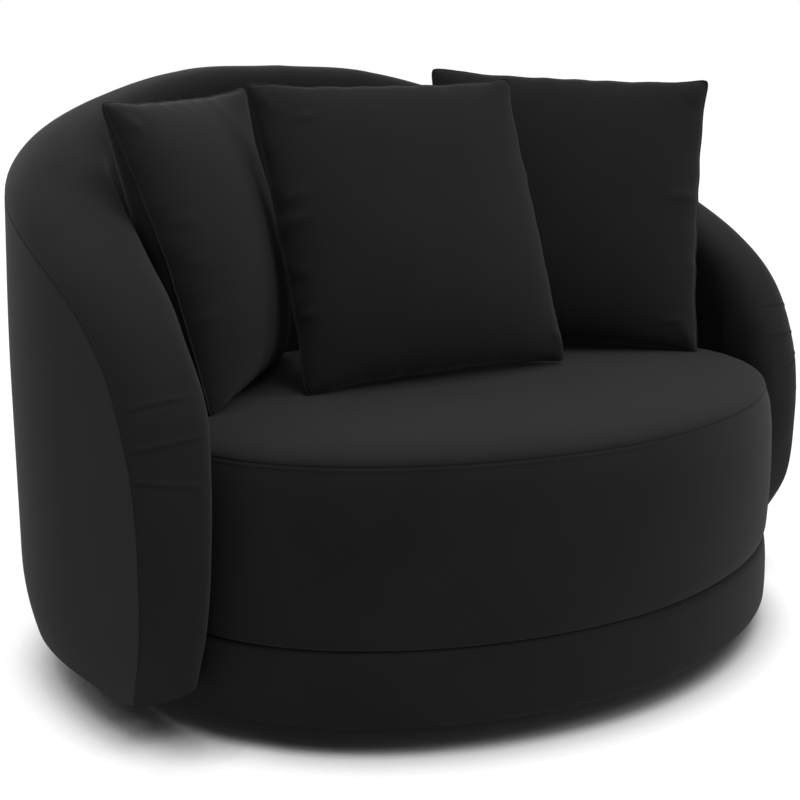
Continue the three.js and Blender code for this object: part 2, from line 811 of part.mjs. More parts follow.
const studHoles = (solid, z) =>
  footSpots.reduce((left, spot) => {
    const radius = studRadius + studClearance;
    const bore = new THREE.CylinderGeometry(radius, radius, z, boreSides);
    bore.rotateX(Math.PI / 2);
    bore.translate(spot.x, spot.y, z / 2);
    return left.subtract(solidOf(bore));
  }, solid);
const footSpots = [
  { name: "front_left_foot", x: -footX, y: frontFootY },
  { name: "front_right_foot", x: footX, y: frontFootY },
  { name: "back_left_foot", x: -footX, y: backFootY },
  { name: "back_right_foot", x: footX, y: backFootY },
];
const studTopZ = hoopBottomZ + studLength;
const dustTopZ = hoopBottomZ - seatGap;
const footTopZ = dustTopZ - clothThickness - seatGap;

for (const side of [-1, 1]) {
  const low = side * joistX - joistWidth / 2;
  const beam = span(low, -halfDepth, hoopBottomZ, low + joistWidth, halfDepth, hoopBottomZ + joistHeight);
  const name = side > 0 ? "right_joist" : "left_joist";
  addSolid(name, studHoles(beam.intersect(insideHoop), studTopZ + seatGap), timber);
}

const springRails = [
  ["front_spring_rail", frontRailY],
  ["back_spring_rail", backRailY],
];
for (const [name, y] of springRails) {
  const half = springRailWidth / 2;
  const low = springRailTopZ - springRailHeight;
  const beam = span(-halfWidth, y - half, low, halfWidth, y + half, springRailTopZ);
  addSolid(name, beam.intersect(insideHoop), timber);
}
const shelfBox = before(frontRailY - springRailWidth / 2 - seatGap);
const shelfDisc = solidOf(discOf(hoopInner + seatGap, hoopTopZ - boardPly, hoopTopZ));
addSolid("nose_shelf", shelfDisc.intersect(shelfBox), ply);

const dustDisc = solidOf(discOf(flangeWidth + seatGap, dustTopZ - clothThickness, dustTopZ));
addSolid("base_dust_cover", studHoles(dustDisc, studTopZ), cloth);

for (const spot of footSpots) {
  const profile = [
    [0, 0],
    [footRadius - footChamfer, 0],
    [footRadius, footChamfer],
    [footTopRadius, footTopZ],
    [studRadius, footTopZ],
    [studRadius, studTopZ - seatGap],
    [0, studTopZ - seatGap],
  ];
  const foot = new THREE.LatheGeometry(
    profile.map(([x, y]) => new THREE.Vector2(x, y)),
    2 * boreSides,
  );
  foot.rotateX(Math.PI / 2);
  const mesh = addPiece(spot.name, foot, plastic);
  mesh.position.set(spot.x, spot.y, 0);
}

// Zigzag springs hooked in the lugs of two clip strips

const wireZ = springRailTopZ + seatGap + clipThickness + seatGap + springWire / 2;
const springReach = springSpreadShare * seatHalfWidth;
const springXs = Array.from({ length: springCount }, (_, i) =>
  lerp(-springReach, springReach, i / (springCount - 1)),
);
const stripLength = 2 * (springReach + clipStripWidth);

const waveSteps = springBends * bendSteps;
const springSteps = waveSteps + 2 * leadSteps;

class ZigzagCurve extends THREE.Curve {
  constructor(x) {
    super();
    this.x = x;
  }
  getPoint(t, target = new THREE.Vector3()) {
    const along = clamp(t * springSteps - leadSteps, 0, waveSteps) / waveSteps;
    const swing = (Math.sin(along * springBends * Math.PI) * (springWidth - springWire)) / 2;
    return target.set(this.x + swing, lerp(frontRailY, backRailY, t), wireZ);
  }
}

const wireSection = new THREE.Shape(
  new THREE.EllipseCurve(0, 0, springWire / 2, springWire / 2).getPoints(wireSides).slice(0, wireSides),
);
springXs.forEach((x, i) => {
  const wire = new THREE.ExtrudeGeometry(wireSection, {
    steps: springSteps,
    extrudePath: new ZigzagCurve(x),
    bevelEnabled: false,
  });
  addPiece(`zigzag_spring_${i + 1}`, wire, steel);
});

for (const [name, y] of [
  ["front_clip_strip", frontRailY],
  ["back_clip_strip", backRailY],
]) {
  const half = clipStripWidth / 2;
  const base = springRailTopZ + seatGap;
  const top = wireZ + springWire / 2 + seatGap + clipThickness / 2;
  let strip = span(-stripLength / 2, y - half, base, stripLength / 2, y + half, base + clipThickness);
  const inward = Math.sign(backRailY - frontRailY) * (y === frontRailY ? 1 : -1);
  for (const x of springXs) {
    const lug = span(
      x - clipLugWidth / 2,
      y - clipLugLength / 2,
      base,
      x + clipLugWidth / 2,
      y + clipLugLength / 2,
      top,
    );
    const slotY = [y - inward * springWire, y + inward * clipStripWidth].sort((a, b) => a - b);
    const slotHalf = clipLugWidth / 2 - clipThickness;
    const slotTop = top - clipThickness / 2;
    const slot = span(x - slotHalf, slotY[0], base + clipThickness, x + slotHalf, slotY[1], slotTop);
    strip = strip.add(lug).subtract(slot);
  }
  addSolid(name, strip, steel);
}
const feltZ = hoopTopZ;
const feltBox = behind(frontRailY - springRailWidth / 2);
const felt = solidOf(discOf(hoopInner + seatGap, feltZ - feltThickness, feltZ));
addSolid("spring_felt", felt.intersect(feltBox), wadding);

// Seat: border padding round the hoop, the foam with its crown, and the cover over both

const borderPad = loopBody([
  ...borderShares.slice(0, 3).map((row) => borderLoop(row, layer)),
  borderLoopAt(hoopTopZ, layer),
  baseLoop(hoopInset - layerGap, hoopTopZ),
  baseLoop(hoopInset - layerGap, grooveZ),
]);
addPiece("seat_border_padding", borderPad, wadding);

const foamZ = hoopTopZ + layerGap;
const foamBody = loopBody([
  [new THREE.Vector3(domeCentre.x, domeCentre.y, foamZ)],
  borderLoopAt(foamZ, layer),
  ...borderShares.slice(3).map((row) => borderLoop(row, layer)),
  ...domeLoops(layer),
]);
addPiece("seat_foam", foamBody, foam);

const seatCover = loopBody([
  ...domeLoops(coverThickness).toReversed(),
  ...borderShares.map((row) => borderLoop(row, coverThickness)).toReversed(),
  ...borderShares.map((row) => borderLoop(row, 0)),
  ...domeLoops(0),
]);
const seat = addPiece("seat_cover", seatCover, fabric);

// Scatter cushions: a cover sewn round its edge, the filling inside it and a zip in the bottom edge

// How far the sewn edge has drawn in at a place along a side, more between its corners' small ears.
function drawnIn(share) {
  return 1 - cushionDrawInShare * (1 - Math.abs(share) ** cushionEarPower);
}

// A closed pillow: two crowned faces over a square with drawn-in sides, and a thin edge between them.
function pillow(steps, side, crown, edge) {
  const at = (u, v, face) => {
    const x = Math.sin(lerp(-Math.PI / 2, Math.PI / 2, u));
    const z = Math.sin(lerp(-Math.PI / 2, Math.PI / 2, v));
    const rise = Math.max((1 - x ** 2) * (1 - z ** 2), 0) ** cushionPower;
    return new THREE.Vector3(
      (side / 2) * x * drawnIn(z),
      face * (edge / 2 + crown * rise),
      (side / 2) * z * drawnIn(x),
    );
  };
  return solidOf(thickSheet(steps, steps, (u, v) => at(u, v, -1), (u, v) => at(u, v, 1)));
}

// The cover, filling and zip of a cushion of one size.
function cushionParts(side) {
  const hollowSide = side - 2 * cushionMargin;
  const hollowCrown = cushionCrown - coverThickness;
  const outer = pillow(cushionSteps, side, cushionCrown, cushionEdge);
  const hollow = pillow(fillSteps, hollowSide, hollowCrown, cushionEdge);
  const fillEdge = cushionEdge - 2 * fillGap;
  const filling = pillow(fillSteps, hollowSide - 2 * fillGap, hollowCrown - fillGap, fillEdge);
  const drawn = (share) => (hollowSide / 2) * drawnIn(share);
  const zipBox = (slack, top) => {
    const x = zipLength / 2 + slack;
    const y = zipThickness / 2 + slack;
    return span(-x, -y, -side, x, y, top);
  };
  const slot = zipBox(seatGap, cushionMargin - drawn(0));
  const zip = outer.intersect(zipBox(0, -drawn(zipLength / hollowSide) - seatGap - fillGap));
  return { cover: outer.subtract(hollow).subtract(slot), filling, zip };
}

// Lowers a cushion until its lowest point lies just above the crowned seat.
function settle(cushion, cover) {
  cushion.position.z = chairWidth;
  cushion.updateMatrixWorld(true);
  const vertices = cover.geometry.getAttribute("position");
  const probe = new THREE.Raycaster();
  const down = new THREE.Vector3(0, 0, -1);
  const gaps = [];
  for (let i = 0; i < vertices.count; i++) {
    const point = new THREE.Vector3().fromBufferAttribute(vertices, i);
    probe.set(point.applyMatrix4(cushion.matrixWorld), down);
    gaps.push(...probe.intersectObject(seat).map((hit) => hit.distance));
  }
  cushion.position.z -= Math.min(...gaps) - cushionClearance;
}

for (const place of cushionShares) {
  const parts = cushionParts(chairWidth * place.side);
  const cushion = new THREE.Group();
  const angles = [-place.lean, -place.roll, place.turn].map(degToRad);
  cushion.rotation.set(...angles, "ZXY");
  cushion.position.x = place.across * seatHalfWidth;
  cushion.position.y = widestY + place.back * backBowDepth;
  const cover = addPiece(`${place.name}_cushion_cover`, geometryOf(parts.cover), fabric, cushion);
  addPiece(`${place.name}_cushion_filling`, geometryOf(parts.filling), wadding, cushion);
  addPiece(`${place.name}_cushion_zip`, geometryOf(parts.zip), plastic, cushion);
  settle(cushion, cover);
  chair.add(cushion);
}

export default chair;
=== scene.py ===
"""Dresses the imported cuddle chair: fine upholstery, scatter cushions, materials, camera and light.

Shapes are worked out in millimetres and become metres when a mesh is made. The chair faces -Y.
"""

import json

import bpy
import numpy as np
from mathutils import Euler, Matrix, Vector


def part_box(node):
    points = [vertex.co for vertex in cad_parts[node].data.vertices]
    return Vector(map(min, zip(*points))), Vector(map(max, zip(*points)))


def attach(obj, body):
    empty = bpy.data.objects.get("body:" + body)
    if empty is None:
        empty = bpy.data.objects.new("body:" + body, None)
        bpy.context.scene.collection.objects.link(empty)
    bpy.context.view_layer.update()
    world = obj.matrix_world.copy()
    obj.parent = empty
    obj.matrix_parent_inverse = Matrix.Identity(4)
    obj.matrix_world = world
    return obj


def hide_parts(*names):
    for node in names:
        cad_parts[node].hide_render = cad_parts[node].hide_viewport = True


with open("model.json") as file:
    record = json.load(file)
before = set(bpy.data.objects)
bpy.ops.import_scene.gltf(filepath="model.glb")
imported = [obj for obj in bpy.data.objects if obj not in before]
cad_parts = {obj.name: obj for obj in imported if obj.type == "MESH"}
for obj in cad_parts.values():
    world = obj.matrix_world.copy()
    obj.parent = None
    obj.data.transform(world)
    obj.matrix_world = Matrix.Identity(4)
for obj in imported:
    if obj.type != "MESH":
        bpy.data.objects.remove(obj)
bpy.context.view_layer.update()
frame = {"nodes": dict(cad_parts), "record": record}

MM = 0.001

# Overall sizes and levels
CHAIR_WIDTH = 1300
CHAIR_DEPTH = 979
BACK_HEIGHT = 865
PLINTH_BOTTOM = 40
SHELL_BOTTOM = 66
GROOVE = 141
SEAT_SEAM = 378
SEAT_TOP = 398

# Plan of the shell
BOW_DEPTH = 544
BOW_POWER = 2.45
ARM_REACH = 160
ARM_THICKNESS = 110
BACK_THICKNESS = 160

# Rolled rim, arm front and the outer panel's tuck and lean
RIM_THICKNESS = 158
RIM_RISE = 66
RIM_POWER = 3
RIM_EASE = 60
CREASE_ANGLE = np.radians(32)
TUCK_DEPTH = 16
TUCK_HEIGHT = 110
TOP_DRAW = 8
TOP_DRAW_FROM = 430

# Plan of the seat and the plinth
NOSE_DEPTH = 366
NOSE_POWER = 1.89
TUB_CLEARANCE = 4
DEEPEST_INSET = 16
DOME_POWER = 10

# Layers
COVER = 3
LAYER = 3.4
BACK_PADDING = 48
HOOP_INSET = 16
HOOP_TOP = 255
LAYER_GAP = 0.4

# The panel length under which its seam flattens, the way over the rim, how far the plinth's cover is
# turned in, and where the back's foam starts under the rim
PANEL_FADE = 60
RIM_GIRTH = 170
FLANGE = 28
FOAM_TOP_SHARE = 0.016

# Meshes: angles that stay sharp, distances between stations, how many rows and columns there are and
# where they crowd
WALK_STEPS = 4001
SHARP_ANGLE = 40
CORD_SHARP_ANGLE = 80
CUSHION_SHARP_ANGLE = 180
ANY_WAY = (0.3, 0.5, 0.8)
STATION = 11
FINE_STATION = 1.6
FINE_REACH = 24
FOAM_STATION = 22
NEAR_SEAM = np.array([0.3, 0.8, 1.5, 2.5, 3.7, 5.2, 8, 12, 18, 26])
NEAR_SEAM_SHARE = 0.5
PANEL_ROWS = 40
PANEL_CROWDING = 1.25
RIM_ROWS = 34
RIM_ROWS_FROM = 0.13
INNER_ROWS = 26
FOAM_ROWS = 18
ROLL_ROWS = 16
NOSE_COLUMNS = 161
TUB_COLUMNS = 141
NEAR_TOP = np.array([0.4, 0.9, 1.5, 2.2, 3, 3.8, 4.6, 5.6, 7, 9, 12, 16])
BORDER_ROWS = 50
BORDER_FOOT_SHARES = [0.004, 0.01, 0.016, 0.03]
PLINTH_ROWS = 40
PLINTH_TOP_SHARES = [0.965, 0.985, 0.995]
DOME_ROWS = 40
DOME_OUTER_SHARE = 0.5
DOME_INNER_SHARES = [0.42, 0.33, 0.22, 0.1]

# The seam between the outer panel and the rim, as shares: reach, height, rise, thinning, crease, foot
# and how squarely the arm's front meets the panel there
SEAM_SHARES = [
    (0, 1, 1, 0.54, 0, 0, 0),
    (0.176, 0.985, 1, 0.54, 0, 0.176, 0),
    (0.352, 0.936, 0.92, 0.54, 0, 0.352, 0),
    (0.529, 0.881, 0.8, 0.3, 0.1, 0.529, 0),
    (0.661, 0.827, 0.67, 0, 0.3, 0.661, 0),
    (0.7665, 0.77, 0.53, 0.02, 0.55, 0.753, 0),
    (0.885, 0.68, 0.43, 0.42, 0.8, 0.824, 0),
    (0.947, 0.599, 0.39, 0.71, 0.95, 0.863, 0),
    (0.979, 0.5157, 0.37, 0.71, 1, 0.885, 0),
    (0.995, 0.4066, 0.37, 0.875, 1, 0.903, 0.33),
    (0.998, 0.2688, 0.37, 1, 1, 0.916, 0.43),
    (0.984, 0.131, 0.34, 1, 1, 0.925, 0.82),
    (0.96, 0.0205, 0.26, 1, 1, 0.93, 0.45),
]
# Inset as a share of the deepest, and height as a share of the way up
BORDER_SHARES = [
    (0.75, 0), (0.36, 0.025), (0.14, 0.1), (0, 0.42), (0.12, 0.7), (0.4, 0.87), (1, 1),
]
PLINTH_SHARES = [(0.2, 0), (0.05, 0.05), (0, 0.3), (0.05, 0.6), (0.2, 0.86), (0.36, 0.955), (0.75, 1)]

# Sewn seams: how deep and wide the cloth dips into them
SEAM_DIP = 2.2
SEAM_DIP_WIDTH = 5
SEAM_PUFF = 0.8
SEAM_PUFF_WIDTH = 14

# The seat's top seam: a finer dip, and the thin fold that lies just under it
SEAT_DIP = 1.1
SEAT_DIP_WIDTH = 2.4
SEAT_FOLD = 0.9
SEAT_FOLD_UNDER = 4.2
SEAT_FOLD_WIDTH = 1.8

# Gathers beside the arm fronts' outer seam: height on the seam, slant, width, depth, where they start
# and how far in they run, then how they rise and fade as shares of those
GATHERS = [
    (452, 4, 2.8, 2.6, 0.16, 0.58),
    (408, 5, 2.8, 2.9, 0.14, 0.66),
    (376, -24, 2.8, 2.6, 0.10, 0.64),
    (313, -4, 3.6, 0.7, 0.10, 0.40),
]
GATHER_RISE_SHARE = 1 / 3
GATHER_FADE_SHARE = 0.6

# Scatter cushions: side, front and rear crown, how far the filling has sagged, how far the upper right
# ear comes forward, how far the top sinks, where each stands, its turn, lean and roll, and its twist
CUSHIONS = {
    "front": dict(
        side=474, crown=74, rear=74, sag=0.3, ear=0, slump=0,
        across=-32.5, back=7.65, turn=-8.6, lean=19.9, roll=0.9, twist=0,
    ),
    "left": dict(
        side=450.8, crown=86, rear=68, sag=0.12, ear=16, slump=8,
        across=-312.6, back=134.2, turn=41, lean=13.4, roll=0.2, twist=-7,
    ),
    "right": dict(
        side=478.7, crown=74, rear=74, sag=0.3, ear=0, slump=0,
        across=325.6, back=37.1, turn=-41.1, lean=17.9, roll=-2.8, twist=0,
    ),
}
CUSHION_DRAW_IN = 0.05
CUSHION_EAR_POWER = 4
CUSHION_POWER = 0.45
LOWER_TWIST_SHARE = 0.3
EAR_FROM = 0.45
CORNER_ROUND = 0.03
CORNER_POWER = 26
GRID = 60
GRID_EVENNESS = 0.7
PLUMP_SHARE = 0.98
SEAM_CORD = 1.9
SEAM_CORD_SIDES = 10
FILL_MARGIN = 9
FILL_SLACK = 6

# How the cushions' cloth swells, and how far a point may move
SIM_FRAMES = 22
SWELL_CAP = 24
LEAST = 1e-9
SWELLING = dict(
    quality=7,
    mass=0.3,
    air_damping=6,
    tension_stiffness=30,
    compression_stiffness=30,
    shear_stiffness=12,
    bending_stiffness=2.5,
    use_pressure=True,
    uniform_pressure_force=4,
)

# Puckers along the sewn edge: length, rise and how far in they reach, and how the edge itself wavers
PUCKER_LENGTH = 23
PUCKER_RISE = 0.8
PUCKER_REACH = 16
PUCKER_UNEVENNESS = 3
WAVER_LENGTH = 71
WAVER = 1.1
WAVER_UNEVENNESS = 2
WAVER_POWER = 8

# Small creases on the cushions' fronts: both ends across and up as shares of the half side, width and
# rise, and how they rise and fade as shares of their length and of the crown
CREASE_RISE_SHARE = 0.3
CREASE_FADE_FROM = 0.45
CREASE_CROWN_SHARE = 0.25
CREASES = {
    "front": [
        (-0.78, 0.7, -0.58, 0.74, 7.5, 2.56),
        (-0.97, 0.19, -0.74, 0.27, 9, 3.52),
        (-0.97, 0.06, -0.72, 0.1, 7.5, 3.2),
        (-0.97, -0.24, -0.82, -0.24, 9, 2.88),
        (-0.98, -0.5, -0.82, -0.52, 7.5, 2.24),
        (-1, 0.92, -0.82, 0.74, 10.5, 3.84),
        (0.98, -0.95, 0.8, -0.72, 10.5, 3.84),
        (0.97, 0.3, 0.86, 0.26, 9, 2.24),
    ],
    "left": [
        (-0.97, 0.17, -0.74, 0.19, 9, 2.88),
        (-0.96, -0.04, -0.76, -0.12, 9, 2.56),
        (-0.97, -0.41, -0.8, -0.4, 9, 2.56),
        (-0.98, 0.9, -0.8, 0.72, 10.5, 3.52),
    ],
    "right": [
        (0.96, 0.13, 0.62, 0.06, 9, 3.2),
        (0.9, -0.76, 0.66, -0.8, 7.5, 2.88),
        (0.97, -0.33, 0.82, -0.4, 9, 2.24),
        (0.98, -0.95, 0.8, -0.78, 10.5, 3.84),
        (0.98, 0.93, 0.82, 0.76, 10.5, 3.52),
    ],
}

# Upholstery cloth: a near-black brushed microfibre, with soft clouds where its short nap lies another
# way
CLOTH_COLOUR = (0.0066, 0.0066, 0.0068)
CLOTH_DARK = (0.0059, 0.0059, 0.0061)
CLOTH_LIGHT = (0.0072, 0.0072, 0.0074)
CLOTH_ROUGHNESS = 0.82
CLOTH_SLEEK = 0.74
CLOTH_DULL = 0.92
CLOTH_SPECULAR = 0.045
CLOTH_SHEEN = 0.046
CLOTH_SHEEN_TINT = (0.75, 0.76, 0.8, 1)
CLOUD = dict(scale=9, detail=3, rough=0.55)
NAP = dict(scale=1500, detail=2, rough=0.6)
NAP_BUMP = dict(strength=0.10, distance=0.0004)
PILE = dict(scale=260, detail=3, rough=0.6)
PILE_BUMP = dict(strength=0.05, distance=0.0008)

# The other materials: dark and light colour, roughness, the scale and stretch of the grain, its depth
GRAIN = dict(detail=5, rough=0.6)
GRAIN_STRENGTH = 0.4
GRAIN_DEPTH = 0.0003
RAMP_START = 0.3
RAMP_STOP = 0.7
PLAIN_SPECULAR = 0.5
SHEEN_ROUGHNESS = 0.5
LOOKS = {
    "foam": dict(
        low=(0.6, 0.56, 0.38), high=(0.72, 0.68, 0.5),
        roughness=0.95, scale=700, depth=0.0006,
    ),
    "wadding": dict(
        low=(0.7, 0.68, 0.63), high=(0.83, 0.81, 0.76),
        roughness=0.98, scale=120, depth=0.002,
    ),
    "plywood": dict(
        low=(0.36, 0.21, 0.09), high=(0.52, 0.33, 0.15),
        roughness=0.7, scale=40, stretch=(1, 1, 9),
    ),
    "timber": dict(
        low=(0.42, 0.25, 0.11), high=(0.58, 0.38, 0.19),
        roughness=0.75, scale=30, stretch=(1, 9, 9),
    ),
    "webbing": dict(
        low=(0.026, 0.024, 0.02), high=(0.046, 0.042, 0.035),
        roughness=0.85, scale=900,
    ),
    "dust_cloth": dict(
        low=(0.009, 0.009, 0.01), high=(0.014, 0.014, 0.015),
        roughness=0.95, scale=1200,
    ),
    "steel": dict(
        low=(0.22, 0.23, 0.24), high=(0.31, 0.32, 0.33),
        roughness=0.4, scale=200, metallic=1.0,
    ),
    "foot_plastic": dict(
        low=(0.006, 0.006, 0.006), high=(0.009, 0.009, 0.009),
        roughness=0.45, scale=900,
    ),
}

# Floor. It is seen mostly by its own even white glow, dimmed by ambient occlusion into painted shade
# close under the chair, and it throws less light up at the chair than it shows
FLOOR_HALF = 30000
FLOOR_COLOUR = (0.93, 0.93, 0.93)
FLOOR_ROUGHNESS = 0.9
FLOOR_RETURN = (0.55, 0.55, 0.55, 1)
FLOOR_GLOW = 0.85
FLOOR_DARK_SHARE = 0.36
FLOOR_OPEN_SHARE = 0.8
FLOOR_SHADE_REACH = 120
FLOOR_SHADE_SAMPLES = 16

# Surroundings, as the chair is lit by them and as they are seen
WHITE = (1, 1, 1, 1)
WORLD_LIGHT = 0.27
WORLD_SEEN = 1.0

# Suns: azimuth that the light comes from (0 is +X, 90 is +Y), elevation, strength, angle
SUNS = {
    "top": (90, 88, 1.15, 12),
    "high_right": (0, 58, 0.5, 30),
    "high_back": (90, 58, 0.8, 30),
    "high_left": (180, 58, 0.2, 30),
    "high_front": (-90, 58, 1.75, 30),
    "back": (90, 25, 0.9, 30),
    "front_right": (-45, 25, 0.65, 30),
    "low_front_right": (-45, 5, 0.8, 30),
    "low_front_left": (-135, 5, 0.4, 30),
    "low_left": (180, 5, 0.6, 30),
}

# Camera: where it stands, what it looks at, and its lens
EYE = (-1417.1, -1638.3, 832.2)
TARGET = (0, 77.8, 333.8)
FOCAL_PIXELS = 1408.3
IMAGE_WIDTH = 800
SENSOR_WIDTH = 36


def lerp(a, b, t):
    return a + (b - a) * t


def smoothstep(x, low, high):
    t = np.clip((x - low) / (high - low), 0, 1)
    return t * t * (3 - 2 * t)


class Spline:
    """A centripetal Catmull-Rom curve through rows of values."""

    def __init__(self, rows):
        p = np.array(rows, float)
        self.points = np.vstack([2 * p[0] - p[1], p, 2 * p[-1] - p[-2]])

    def at(self, t):
        count = len(self.points) - 3
        spot = np.clip(np.asarray(t, float), 0, 1) * count
        k = np.minimum(spot.astype(int), count - 1)
        w = (spot - k)[..., None]
        p0, p1, p2, p3 = (self.points[k + i] for i in range(4))

        def knot(a, b):
            return np.sum((b - a) ** 2, -1, keepdims=True) ** 0.25

        least = 1e-4
        d1 = knot(p1, p2)
        d1 = np.where(d1 < least, 1.0, d1)
        d0 = knot(p0, p1)
        d0 = np.where(d0 < least, d1, d0)
        d2 = knot(p2, p3)
        d2 = np.where(d2 < least, d1, d2)
        t1 = ((p1 - p0) / d0 - (p2 - p0) / (d0 + d1) + (p2 - p1) / d1) * d1
        t2 = ((p2 - p1) / d1 - (p3 - p1) / (d1 + d2) + (p3 - p2) / d2) * d1
        c2 = -3 * p1 + 3 * p2 - 2 * t1 - t2
        c3 = 2 * p1 - 2 * p2 + t1 + t2
        return p1 + t1 * w + c2 * w**2 + c3 * w**3

    def tangent(self, t):
        step = 1e-4
        t = np.asarray(t, float)
        way = self.at(np.minimum(t + step, 1)) - self.at(np.maximum(t - step, 0))
        return way / np.linalg.norm(way, axis=-1, keepdims=True)


# Plan of the shell

HALF_WIDTH = CHAIR_WIDTH / 2
HALF_DEPTH = CHAIR_DEPTH / 2
WIDEST = HALF_DEPTH - BOW_DEPTH
NOSE = NOSE_DEPTH - HALF_DEPTH
SEAT_HALF_WIDTH = HALF_WIDTH - ARM_THICKNESS - TUB_CLEARANCE
SEAM_BACK = BACK_HEIGHT - RIM_RISE

walk_turn = np.linspace(0, np.pi / 2, WALK_STEPS)
walk_x = HALF_WIDTH * np.sin(walk_turn) ** (2 / BOW_POWER)
walk_y = WIDEST + BOW_DEPTH * np.maximum(np.cos(walk_turn), 0) ** (2 / BOW_POWER)
walk = np.concatenate([[0], np.cumsum(np.hypot(np.diff(walk_x), np.diff(walk_y)))])
BACK_WALK = walk[-1]
FULL_REACH = BACK_WALK + ARM_REACH


def plan_at(reach):
    """The outer plan's point and way out at a reach along it from the middle of the back."""
    side = np.where(reach < 0, -1.0, 1.0)
    along = np.abs(reach)
    x = np.interp(along, walk, walk_x)
    y = np.interp(along, walk, walk_y)
    straight = along >= BACK_WALK
    gx = np.where(straight, 1, (x / HALF_WIDTH) ** (BOW_POWER - 1) / HALF_WIDTH)
    bowed = np.maximum(y - WIDEST, 0) / BOW_DEPTH
    gy = np.where(straight, 0, bowed ** (BOW_POWER - 1) / BOW_DEPTH)
    size = np.hypot(gx, gy)
    y = np.where(straight, WIDEST - (along - BACK_WALK), y)
    return side * x, y, side * gx / size, gy / size


def shell_at(reach, z, depth):
    x, y, nx, ny = plan_at(reach)
    return np.stack(np.broadcast_arrays(x - nx * depth, y - ny * depth, z), -1)


def seat_depth(reach):
    share = np.clip(np.abs(reach) / BACK_WALK, 0, 1)
    return lerp(BACK_THICKNESS, ARM_THICKNESS, (1 - np.cos(np.pi * share)) / 2)


def tuck_at(z):
    foot = 1 - np.clip((z - SHELL_BOTTOM) / TUCK_HEIGHT, 0, 1)
    return TUCK_DEPTH * foot**2 + TOP_DRAW * smoothstep(z, TOP_DRAW_FROM, SEAM_BACK)


seam_line = Spline([(r * FULL_REACH, lerp(SHELL_BOTTOM, SEAM_BACK, up)) for r, up, *_ in SEAM_SHARES])
foot_line = Spline([(row[5] * FULL_REACH,) for row in SEAM_SHARES])
rim_line = Spline([row[2:5] for row in SEAM_SHARES])
corner_line = Spline([(row[6],) for row in SEAM_SHARES])


def section_at(share):
    """What the section is like at a share of the way from the middle of the back to an arm's foot."""
    t = np.abs(share)
    seam = seam_line.at(t)
    tangent = seam_line.tangent(t)
    rim = rim_line.at(t)
    half = lerp(RIM_THICKNESS, ARM_THICKNESS, np.clip(rim[..., 1], 0, 1)) / 2
    crease = CREASE_ANGLE * np.clip(rim[..., 2], 0, 1)
    square = np.clip(corner_line.at(t)[..., 0], 0, 1)
    corner = square * RIM_RISE * rim[..., 0]
    return dict(
        side=np.where(share < 0, -1.0, 1.0),
        reach=seam[..., 0],
        z=seam[..., 1],
        out_reach=-tangent[..., 1],
        out_z=tangent[..., 0],
        foot=foot_line.at(t)[..., 0],
        half=half,
        crease=crease,
        across=2 * half / (1 + np.cos(crease)),
        rise=RIM_RISE * rim[..., 0] / (1 - np.sin(crease)),
        square=square,
        corner_reach=seam[..., 0] - tangent[..., 1] * corner,
        corner_z=seam[..., 1] + tangent[..., 0] * corner,
    )


def layer_point(share, turn, under):
    """A point of the shell: turn 0 to 1 up its outer face, to 2 over the rim, to 3 down the inside."""
    share, turn, under = np.broadcast_arrays(share, turn, under)
    s = section_at(share)
    panel_reach = lerp(s["foot"], s["corner_reach"], turn)
    panel_z = lerp(SHELL_BOTTOM, s["corner_z"], turn)
    panel = shell_at(s["side"] * panel_reach, panel_z, tuck_at(panel_z) + under)
    angle = lerp(s["crease"], np.pi, np.clip(turn - 1, 0, 1))
    power = np.where(angle > np.pi / 2, 2 / RIM_POWER, 1.0)
    sine = np.maximum(np.sin(angle), 0) ** power
    cosine = np.sign(np.cos(angle)) * np.abs(np.cos(angle)) ** power
    beyond = (s["rise"] - under) * (sine - np.sin(s["crease"]))
    front = (s["rise"] - under) * (1 - np.sin(s["crease"]))
    beyond = np.where(angle < np.pi / 2, lerp(beyond, front, s["square"]), beyond)
    rim_reach = s["reach"] + s["out_reach"] * beyond
    rim_z = np.maximum(s["z"] + s["out_z"] * beyond, SHELL_BOTTOM)
    tuck = tuck_at(s["z"]) * (1 + cosine) / 2
    depth = 2 * s["half"] - s["across"] - (s["across"] - under) * cosine
    rim = shell_at(s["side"] * rim_reach, rim_z, depth + tuck)
    down = np.clip(turn - 2, 0, 1)
    reach = lerp(rim_reach, s["foot"], down)
    z = lerp(rim_z, SHELL_BOTTOM, down)
    low = smoothstep(rim_z - z, 0, np.maximum(rim_z - SEAT_TOP, RIM_EASE))
    inner = shell_at(s["side"] * reach, z, lerp(2 * s["half"], seat_depth(reach), low) - under)
    turn = turn[..., None]
    return np.where(turn <= 1, panel, np.where(turn <= 2, rim, inner))


# Meshes


def mesh_object(name, points, faces, sharp=SHARP_ANGLE, smooth=True):
    mesh = bpy.data.meshes.new(name)
    mesh.from_pydata((np.asarray(points, float).reshape(-1, 3) * MM).tolist(), [], faces)
    mesh.validate()
    mesh.update()
    if smooth:
        mesh.shade_smooth()
        mesh.set_sharp_from_angle(angle=np.radians(sharp))
    obj = bpy.data.objects.new(name, mesh)
    bpy.context.scene.collection.objects.link(obj)
    return obj


